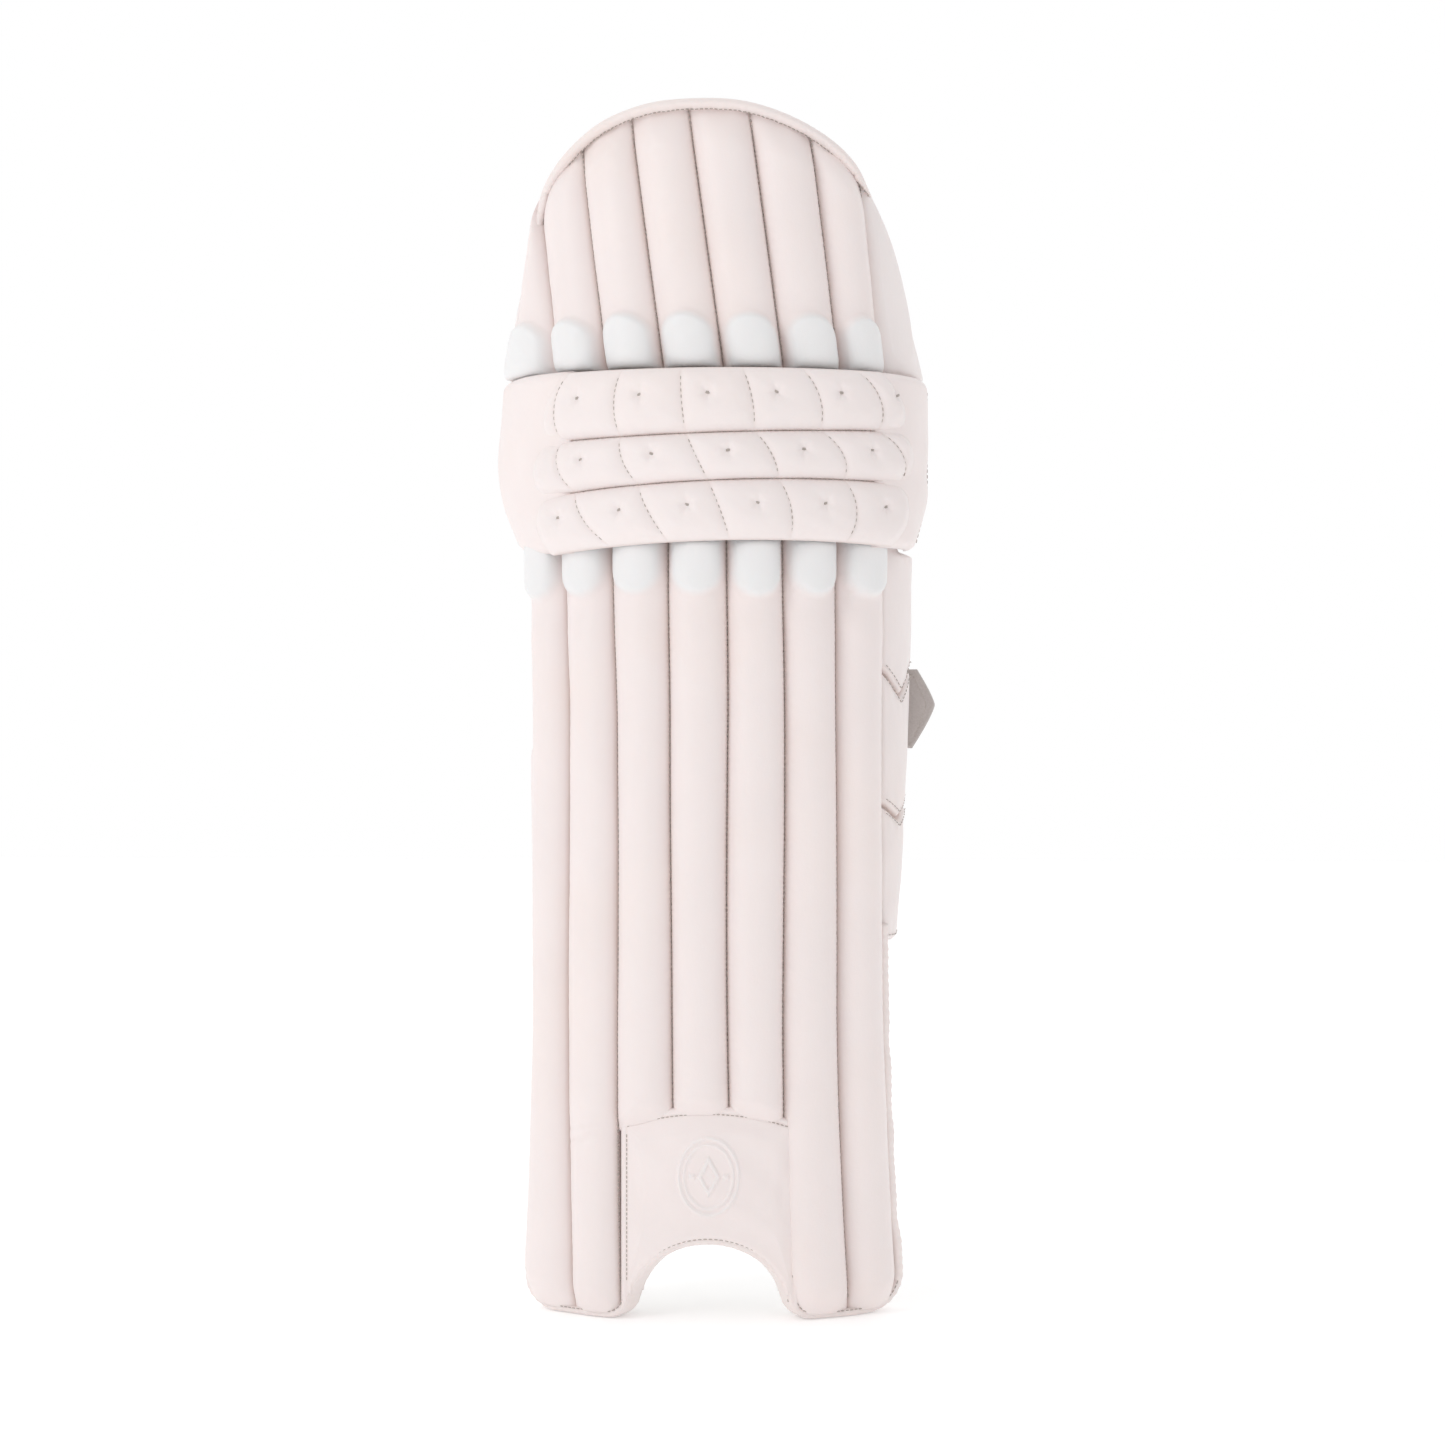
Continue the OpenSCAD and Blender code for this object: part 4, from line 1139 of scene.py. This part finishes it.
quilt_lines = [wrap(a, 111.2, np.arange(20 if abs(a) > 20 else 60, KNEE_Z - 6, 3.0)) for a in QUILT]
stitches("shin_lining_stitches", quilt_lines, pitch=5.0, length=3.2, radius=0.4, body="shin")


SWELL_FRAMES = 20
SWELL_LIMIT = 3.0        # most that a point of a stuffed piece may move


def inflate(piece, pressure, tied):
    """Cloth blown up from the inside and held at its tied points, then kept as plain geometry."""
    scene = bpy.context.scene
    scene.frame_start, scene.frame_end = 1, SWELL_FRAMES
    cloth = piece.modifiers.new("cloth", "CLOTH")
    cloth.settings.quality = 8
    cloth.settings.mass = 0.001
    cloth.settings.effector_weights.gravity = 0.0
    cloth.settings.use_pressure = True
    cloth.settings.uniform_pressure_force = pressure
    cloth.settings.tension_stiffness = 2
    cloth.settings.compression_stiffness = 2
    cloth.settings.shear_stiffness = 1
    cloth.settings.bending_stiffness = 0.01
    cloth.settings.air_damping = 1
    group = piece.vertex_groups.new(name="tied")
    group.add(tied, 1.0, "REPLACE")
    cloth.settings.vertex_group_mass = "tied"
    cloth.point_cache.frame_start, cloth.point_cache.frame_end = 1, SWELL_FRAMES
    for number in range(1, SWELL_FRAMES + 1):
        scene.frame_set(number)
    solved = bpy.data.meshes.new_from_object(piece.evaluated_get(bpy.context.evaluated_depsgraph_get()))
    before = np.array([v.co for v in piece.data.vertices])
    after = np.array([v.co for v in solved.vertices])
    bpy.data.meshes.remove(solved)
    piece.modifiers.remove(cloth)
    scene.frame_set(1)
    move = after - before
    far = np.linalg.norm(move, axis=1)
    if not far.max() > 0.1 * MM:
        raise ValueError(f"{piece.name} did not swell")
    scale = np.minimum(1, SWELL_LIMIT * MM / np.maximum(far, 1e-9))
    piece.data.vertices.foreach_set("co", (before + move * scale[:, None]).astype(np.float32).ravel())
    piece.data.update()


BOLSTER_R = 11.6         # radius that no point of a bolster passes


def bolster(side, node):
    """An upright stuffed roll on the leg side, gathered at its round ends."""
    low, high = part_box(node)
    middle = [(low[k] + high[k]) / 2 for k in range(3)]
    n, sides = 76, 30
    t = np.linspace(0, 1, n)
    z = low[2] + (high[2] - low[2]) * t
    half = 9.8 * np.clip(1 - (2 * t - 1) ** 14, 0, 1) ** 0.5 + 0.6
    half = half + 0.35 * ripple(200 + side, (z / MM, 40))
    path = np.stack([np.full(n, middle[0]), np.full(n, middle[1]), z], -1)
    piece = tube(f"{node}_stuffed", path, half * MM, sides=sides)
    along = t * (high[2] - low[2]) / MM
    tied_rows = [row for row in range(n) if row < 2 or row > n - 3 or abs(along[row] % 58 - 29) < 2]
    inflate(piece, 12000, [row * sides + j for row in tied_rows for j in range(sides)])
    co = np.array([v.co for v in piece.data.vertices]).reshape(n, sides, 3)
    turn = np.linspace(0, 2 * math.pi, sides, endpoint=False)[None, :]
    gather = 0.5 * np.cos(turn * 9) * np.exp(-(np.minimum(t, 1 - t)[:, None] * 232 / 16) ** 2)
    pinch = -0.8 * np.exp(-(((t[:, None] * 232) % 58 - 29) / 3.0) ** 2)
    out = co - path[:, None]
    out[..., 2] = 0
    out /= np.maximum(np.linalg.norm(out, axis=2), 1e-6)[..., None]
    co = co + out * ((gather + pinch) * MM)[..., None]
    off_axis = co[..., :2] - path[:, None, :2]
    shrink = np.minimum(1, BOLSTER_R * MM / np.linalg.norm(off_axis, axis=2))
    co[..., :2] = path[:, None, :2] + off_axis * shrink[..., None]
    piece.data.vertices.foreach_set("co", co.astype(np.float32).ravel())
    piece.data.update()
    paint(piece, lining_look)
    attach(piece, "shin")
    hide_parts(node)


bolster(-1, "shin_bolster_left")
bolster(1, "shin_bolster_right")


def knee_cushion():
    """A stuffed cushion behind the knee bars, drawn in along two lines."""
    rows, cols = 44, 90
    q = np.linspace(-1, 1, cols)[None, :]
    v = np.linspace(-1, 1, rows)[:, None]
    a = 25.2 * q + 0 * v
    mid = (KNEE_Z + THIGH_Z) / 2
    z = mid + 38.0 * v * (1 - 0.06 * q ** 2) + 0 * q
    fill = (np.clip(1 - np.abs(q) ** 5, 0, 1) * np.clip(1 - np.abs(v) ** 4, 0, 1)) ** 0.5
    narrow = 1 - 0.28 * np.abs(v) ** 2
    inner = 122.4 - 17.0 * fill * narrow
    front = wrap(a, np.full_like(z, 122.8), z)
    back = wrap(a, inner, z)
    piece = slab("knee_cushion_stuffed", front, back)
    inflate(piece, 600, list(range(rows * cols)) + [rows * cols + int(i) for i in rim(rows, cols)])
    co = np.array([p.co for p in piece.data.vertices]).reshape(2, rows, cols, 3)
    lean = np.radians(np.broadcast_to(a, z.shape))
    outwards = np.stack([np.sin(lean), -np.cos(lean), 0 * lean], -1)
    groove = 2.4 * (np.exp(-((q - 0.36) / 0.05) ** 2) + np.exp(-((q + 0.36) / 0.05) ** 2)) * fill
    crumple = 0.35 * ripple(61, (z, 14), (a * 2, 12)) * fill
    co[1] = co[1] + outwards * ((groove + crumple) * MM)[..., None]
    piece.data.vertices.foreach_set("co", co.astype(np.float32).ravel())
    piece.data.update()
    paint(piece, lining_look)
    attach(piece, "knee")
    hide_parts("knee_cushion")


knee_cushion()


# ---------- folds ----------

def gusset(name, level, r_mid):
    """A strip of cloth behind a fold, sewn to the section below it and to the one above it."""
    rows, cols = 30, 150
    a = np.linspace(-45.5, 45.5, cols)[None, :]
    v = np.linspace(-1, 1, rows)[:, None]
    z = level + 7.5 * v + 0 * a
    bulge = -3.0 * (1 - v ** 2) + 0.5 * ripple(int(level), (a * 2, 10), (z, 8)) * (1 - v ** 2)
    r = r_mid + bulge + 2.5 * np.abs(v) ** 3
    piece = slab(name, wrap(a, r, z), wrap(a, r - 1.2, z))
    paint(piece, lining_look)
    low, high = plan_point(0, FOLD_Y, level - 6.5), plan_point(0, FOLD_Y, level + 6.5)
    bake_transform(piece)


gusset("knee_fold_gusset", KNEE_Z, 121.0)
gusset("thigh_fold_gusset", THIGH_Z, 121.0)

# The canes stay as they are inside the rolls.
for node in ("shin_canes", "thigh_canes"):
    cad = bpy.data.objects.get(node)
    cad.data.materials.clear()
    cad.data.materials.append(cane_look)
# ---------- straps ----------

STRAP_T = 2.4


def strap_outline(x0, x1, width, point, n, m):
    """Grid over a flat strap with a rounded pointed tip at its right end: x and height of each point."""
    q = np.linspace(0, 1, n)[None, :]
    v = np.linspace(-1, 1, m)[:, None]
    reach = x1 - point * np.abs(v - 0.1) ** 1.25 / 1.1
    x = x0 + (reach - x0) * q
    return x, v * width / 2 + 0 * q


def flat_strap(name, nodes, z_mid, width, body, thick=STRAP_T, hem=3.2, point=13.0):
    """A suede strap: stitched round its edge, slightly wavy, lying where its CAD node lies."""
    low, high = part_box(nodes[0])
    x0, x1 = low[0] / MM - AXIS_X, high[0] / MM - AXIS_X
    y_mid = (low[1] + high[1]) / 2 / MM - AXIS_Y
    n, m = max(24, int((x1 - x0) / 1.1)), 44
    x, h = strap_outline(x0, x1, width, point, n, m)
    d = np.minimum(width / 2 - np.abs(h), np.minimum(x - x0 + 1.0, (x[:, -1:] - x) * 0.9))
    half = thick / 2 - edge_roll(d, thick / 2) * 0.9
    pressed = 0.28 * np.exp(-((d - hem) / 0.7) ** 2)
    wave = 0.35 * ripple(int(z_mid), (x, 60), (h, 40))
    front = plan_point(x, y_mid + wave - half + pressed, z_mid + h)
    back = plan_point(x, y_mid + wave + half - pressed, z_mid + h)
    piece = slab(name, front, back)
    paint(piece, strap_look)
    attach(piece, body)
    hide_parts(*nodes)
    lines = []
    edge_h = width / 2 - hem
    xs = np.arange(x0 + hem, x1 - point - 1.0, 2.0)
    tip = [(x1 - point, edge_h), (x1 - hem * 1.5, width * 0.05), (x1 - point, -edge_h)]
    loop_x = np.concatenate([xs, [p[0] for p in tip], xs[::-1]])
    loop_h = np.concatenate([np.full(len(xs), edge_h), [p[1] for p in tip], np.full(len(xs), -edge_h)])
    for way in (-1, 1):
        lines.append(plan_point(loop_x, y_mid + way * (thick / 2 - 0.1), z_mid + loop_h))
    return piece, lines


def middle_z(node):
    """Height of the middle of a node, in millimetres."""
    low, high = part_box(node)
    return (low[2] + high[2]) / 2 / MM


def height_of(node):
    """How tall a node is, in millimetres."""
    low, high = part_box(node)
    return (high[2] - low[2]) / MM


for strap, root_body in (("calf_strap", "shin"), ("knee_strap", "knee")):
    z_mid, width = middle_z(strap), height_of(strap)
    piece, lines = flat_strap(f"{strap}_webbing", [strap], z_mid, width, strap)
    stitches(f"{strap}_stitches", lines, pitch=2.6, length=1.8, radius=0.26, body=strap)
    piece, lines = flat_strap(f"{strap}_root_tab", [f"{strap}_root"], z_mid, width, root_body, point=0.1)
    stitches(f"{strap}_root_stitches", lines, pitch=2.6, length=1.8, radius=0.26, body=root_body)
    piece, _ = flat_strap(f"{strap}_hook_patch", [f"{strap}_hooks"], z_mid, width - 10, strap,
                          thick=1.1, hem=1.8, point=4)
    paint(piece, hook_look)


def fold_strip(name, path, z_mid, width):
    """The flexible neck between a strap's sewn root and the strap itself."""
    path = np.asarray(path)
    cols, rows = 14, 24
    at = np.linspace(0, 1, cols)
    x = path[0, 0] + (path[1, 0] - path[0, 0]) * at
    y = path[0, 1] + (path[1, 1] - path[0, 1]) * at
    z = z_mid + np.linspace(-1, 1, rows)[:, None] * (width / 2 - 0.3) + 0 * x[None, :]
    thin = 0.95 - 0.35 * np.sin(math.pi * at)
    front = plan_point(x[None, :], y[None, :] - thin[None, :], z)
    back = plan_point(x[None, :], y[None, :] + thin[None, :], z)
    piece = slab(name, front, back)
    paint(piece, strap_look)
    start = plan_point(x[0] + 0.7, y[0], z_mid)
    end = plan_point(x[-1] - 0.7, y[-1], z_mid)
    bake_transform(piece)


def bowed_strap():
    """The ankle strap bows round behind the leg; its plan is an arc through its CAD node."""
    z_mid, width = middle_z("ankle_strap"), height_of("ankle_strap")
    low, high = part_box("ankle_strap")
    reach, depth = high[0] / MM - AXIS_X, (high[1] - low[1]) / MM - STRAP_T / 2
    lean = 2 * math.atan2(depth, reach)
    chord = reach - STRAP_T / 2 * math.sin(lean)
    rise = depth - STRAP_T / 2 * math.cos(lean)
    radius = (chord ** 2 + rise ** 2) / (2 * rise)
    centre_y = high[1] / MM - AXIS_Y - STRAP_T / 2 - radius
    half_a = math.degrees(math.asin(chord / radius))
    fold_a = -half_a + 4

    def bow(a0, a1, name, nodes, r, thick, tall, body, look, hem):
        n, m = max(16, int((a1 - a0) * 2.2)), 40
        a = np.linspace(a0, a1, n)[None, :]
        h = np.linspace(-1, 1, m)[:, None] * tall / 2 + 0 * a
        s = (a - a0) * math.radians(radius)
        d = np.minimum(tall / 2 - np.abs(h), np.minimum(s, s[:, -1:] - s) + 0.6)
        half = thick / 2 - edge_roll(d, thick / 2) * 0.9 - 0.25 * np.exp(-((d - hem) / 0.7) ** 2)
        turn = np.radians(a)

        def face(rr):
            return plan_point(rr * np.sin(turn), centre_y + rr * np.cos(turn), z_mid + h)

        piece = slab(name, face(r - half), face(r + half))
        paint(piece, look)
        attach(piece, body)
        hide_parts(*nodes)
        lines = []
        for way in (-1, 1):
            for edge_h in (-1, 1):
                aa = np.radians(np.linspace(a0 + 1.4, a1 - 1.4, 80))
                rr = r + way * (thick / 2 - 0.1)
                lines.append(plan_point(rr * np.sin(aa), centre_y + rr * np.cos(aa),
                                        z_mid + edge_h * (tall / 2 - hem)))
        return piece, lines

    neck = math.degrees(1.6 / radius)
    piece, lines = bow(fold_a + neck, half_a, "ankle_strap_webbing", ["ankle_strap"], radius, STRAP_T, width,
                       "ankle_strap", strap_look, 3.2)
    stitches("ankle_strap_stitches", lines, pitch=2.6, length=1.8, radius=0.26, body="ankle_strap")
    bow(-half_a, fold_a - neck, "ankle_strap_root_tab", ["ankle_strap_root"], radius, STRAP_T,
        width, "shin", strap_look, 3.2)
    hook_r = radius - STRAP_T / 2 - 0.65
    bow(18, half_a - 5, "ankle_strap_hook_patch", ["ankle_strap_hooks"], hook_r, 1.1,
        width - 10, "ankle_strap", hook_look, 1.8)
    ends = [(radius * math.sin(math.radians(a)), centre_y + radius * math.cos(math.radians(a)))
            for a in (fold_a - neck - 0.4, fold_a + neck + 0.4)]
    fold_strip("ankle_strap_fold", ends, z_mid, width)


bowed_strap()
for strap, root_body in (("calf_strap", "shin"), ("knee_strap", "knee")):
    root_box, strap_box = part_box(f"{strap}_root"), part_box(strap)
    y_mid = (strap_box[0][1] + strap_box[1][1]) / 2 / MM - AXIS_Y
    ends = [(root_box[1][0] / MM - AXIS_X - 0.7, y_mid), (strap_box[0][0] / MM - AXIS_X + 0.7, y_mid)]
    fold_strip(f"{strap}_fold", ends, middle_z(strap), height_of(strap))


# ---------- camera, light and floor ----------

def look_at(piece, target):
    """Turns a camera or a light towards a place."""
    piece.rotation_euler = (Vector(target) - piece.location).to_track_quat("-Z", "Y").to_euler()


def area_light(name, place, target, size, power):
    """A soft rectangular light."""
    data = bpy.data.lights.new(name, "AREA")
    data.shape = "RECTANGLE"
    data.size, data.size_y = size
    data.energy = power
    lamp = bpy.data.objects.new(name, data)
    lamp.location = place
    bpy.context.scene.collection.objects.link(lamp)
    look_at(lamp, target)


CAMERA_AZIMUTH = math.radians(4)
CAMERA_DISTANCE = 1.93
AIM_RIGHT, AIM_Z = 0.0014, 0.333     # where the camera aims, from the foot of the leg axis
leg_axis = Vector((AXIS_X * MM, AXIS_Y * MM, 0))
sideways = Vector((math.cos(CAMERA_AZIMUTH), math.sin(CAMERA_AZIMUTH), 0))
aim = leg_axis + sideways * AIM_RIGHT + Vector((0, 0, AIM_Z))
camera = bpy.data.objects.new("camera", bpy.data.cameras.new("camera"))
camera.data.lens = 80.6
camera.data.sensor_width = 36
camera.location = aim + CAMERA_DISTANCE * Vector((math.sin(CAMERA_AZIMUTH), -math.cos(CAMERA_AZIMUTH), 0))
bpy.context.scene.collection.objects.link(camera)
look_at(camera, aim)
bpy.context.scene.camera = camera
bpy.context.scene.view_settings.view_transform = "Standard"

floor_look, _, _, floor_shader = node_tree("studio_floor")
floor_shader.inputs["Base Color"].default_value = (0.93, 0.93, 0.93, 1)
floor_shader.inputs["Roughness"].default_value = 0.7
floor_shader.inputs["Emission Color"].default_value = (1, 1, 1, 1)
floor_shader.inputs["Emission Strength"].default_value = 0.2
floor = new_mesh("floor", [(-6, -6, 0), (6, -6, 0), (6, 6, 0), (-6, 6, 0)], [(0, 1, 2, 3)])
floor.data.materials.append(floor_look)

# A white studio: bright behind and above the pad, darker in front of it and towards the right.
world = bpy.data.worlds.new("studio")
world.use_nodes = True
sky, sky_links = world.node_tree.nodes, world.node_tree.links
place = sky.new("ShaderNodeTexCoord")
split = sky.new("ShaderNodeSeparateXYZ")
sky_links.new(place.outputs["Generated"], split.inputs["Vector"])
lean_right = sky.new("ShaderNodeMath")
lean_right.operation = "MULTIPLY_ADD"
lean_right.inputs[1].default_value = -0.25
sky_links.new(split.outputs["X"], lean_right.inputs[0])
sky_links.new(split.outputs["Y"], lean_right.inputs[2])
lift_up = sky.new("ShaderNodeMath")
lift_up.operation = "MULTIPLY_ADD"
lift_up.inputs[1].default_value = 0.75
sky_links.new(split.outputs["Z"], lift_up.inputs[0])
sky_links.new(lean_right.outputs[0], lift_up.inputs[2])
brightness = ramp(sky, sky_links, lift_up.outputs[0],
                  [(0.0, (0.66,) * 3), (0.45, (1.0, 1.0, 1.0))])
sky_links.new(brightness, sky["Background"].inputs["Color"])
sky["Background"].inputs["Strength"].default_value = 1.0
bpy.context.scene.world = world
centre = (0, 0, 0.35)
area_light("key", (-1.5, -1.7, 1.5), centre, (0.9, 1.4), 11)
area_light("fill", (1.6, -1.6, 0.6), centre, (1.2, 1.2), 1.2)
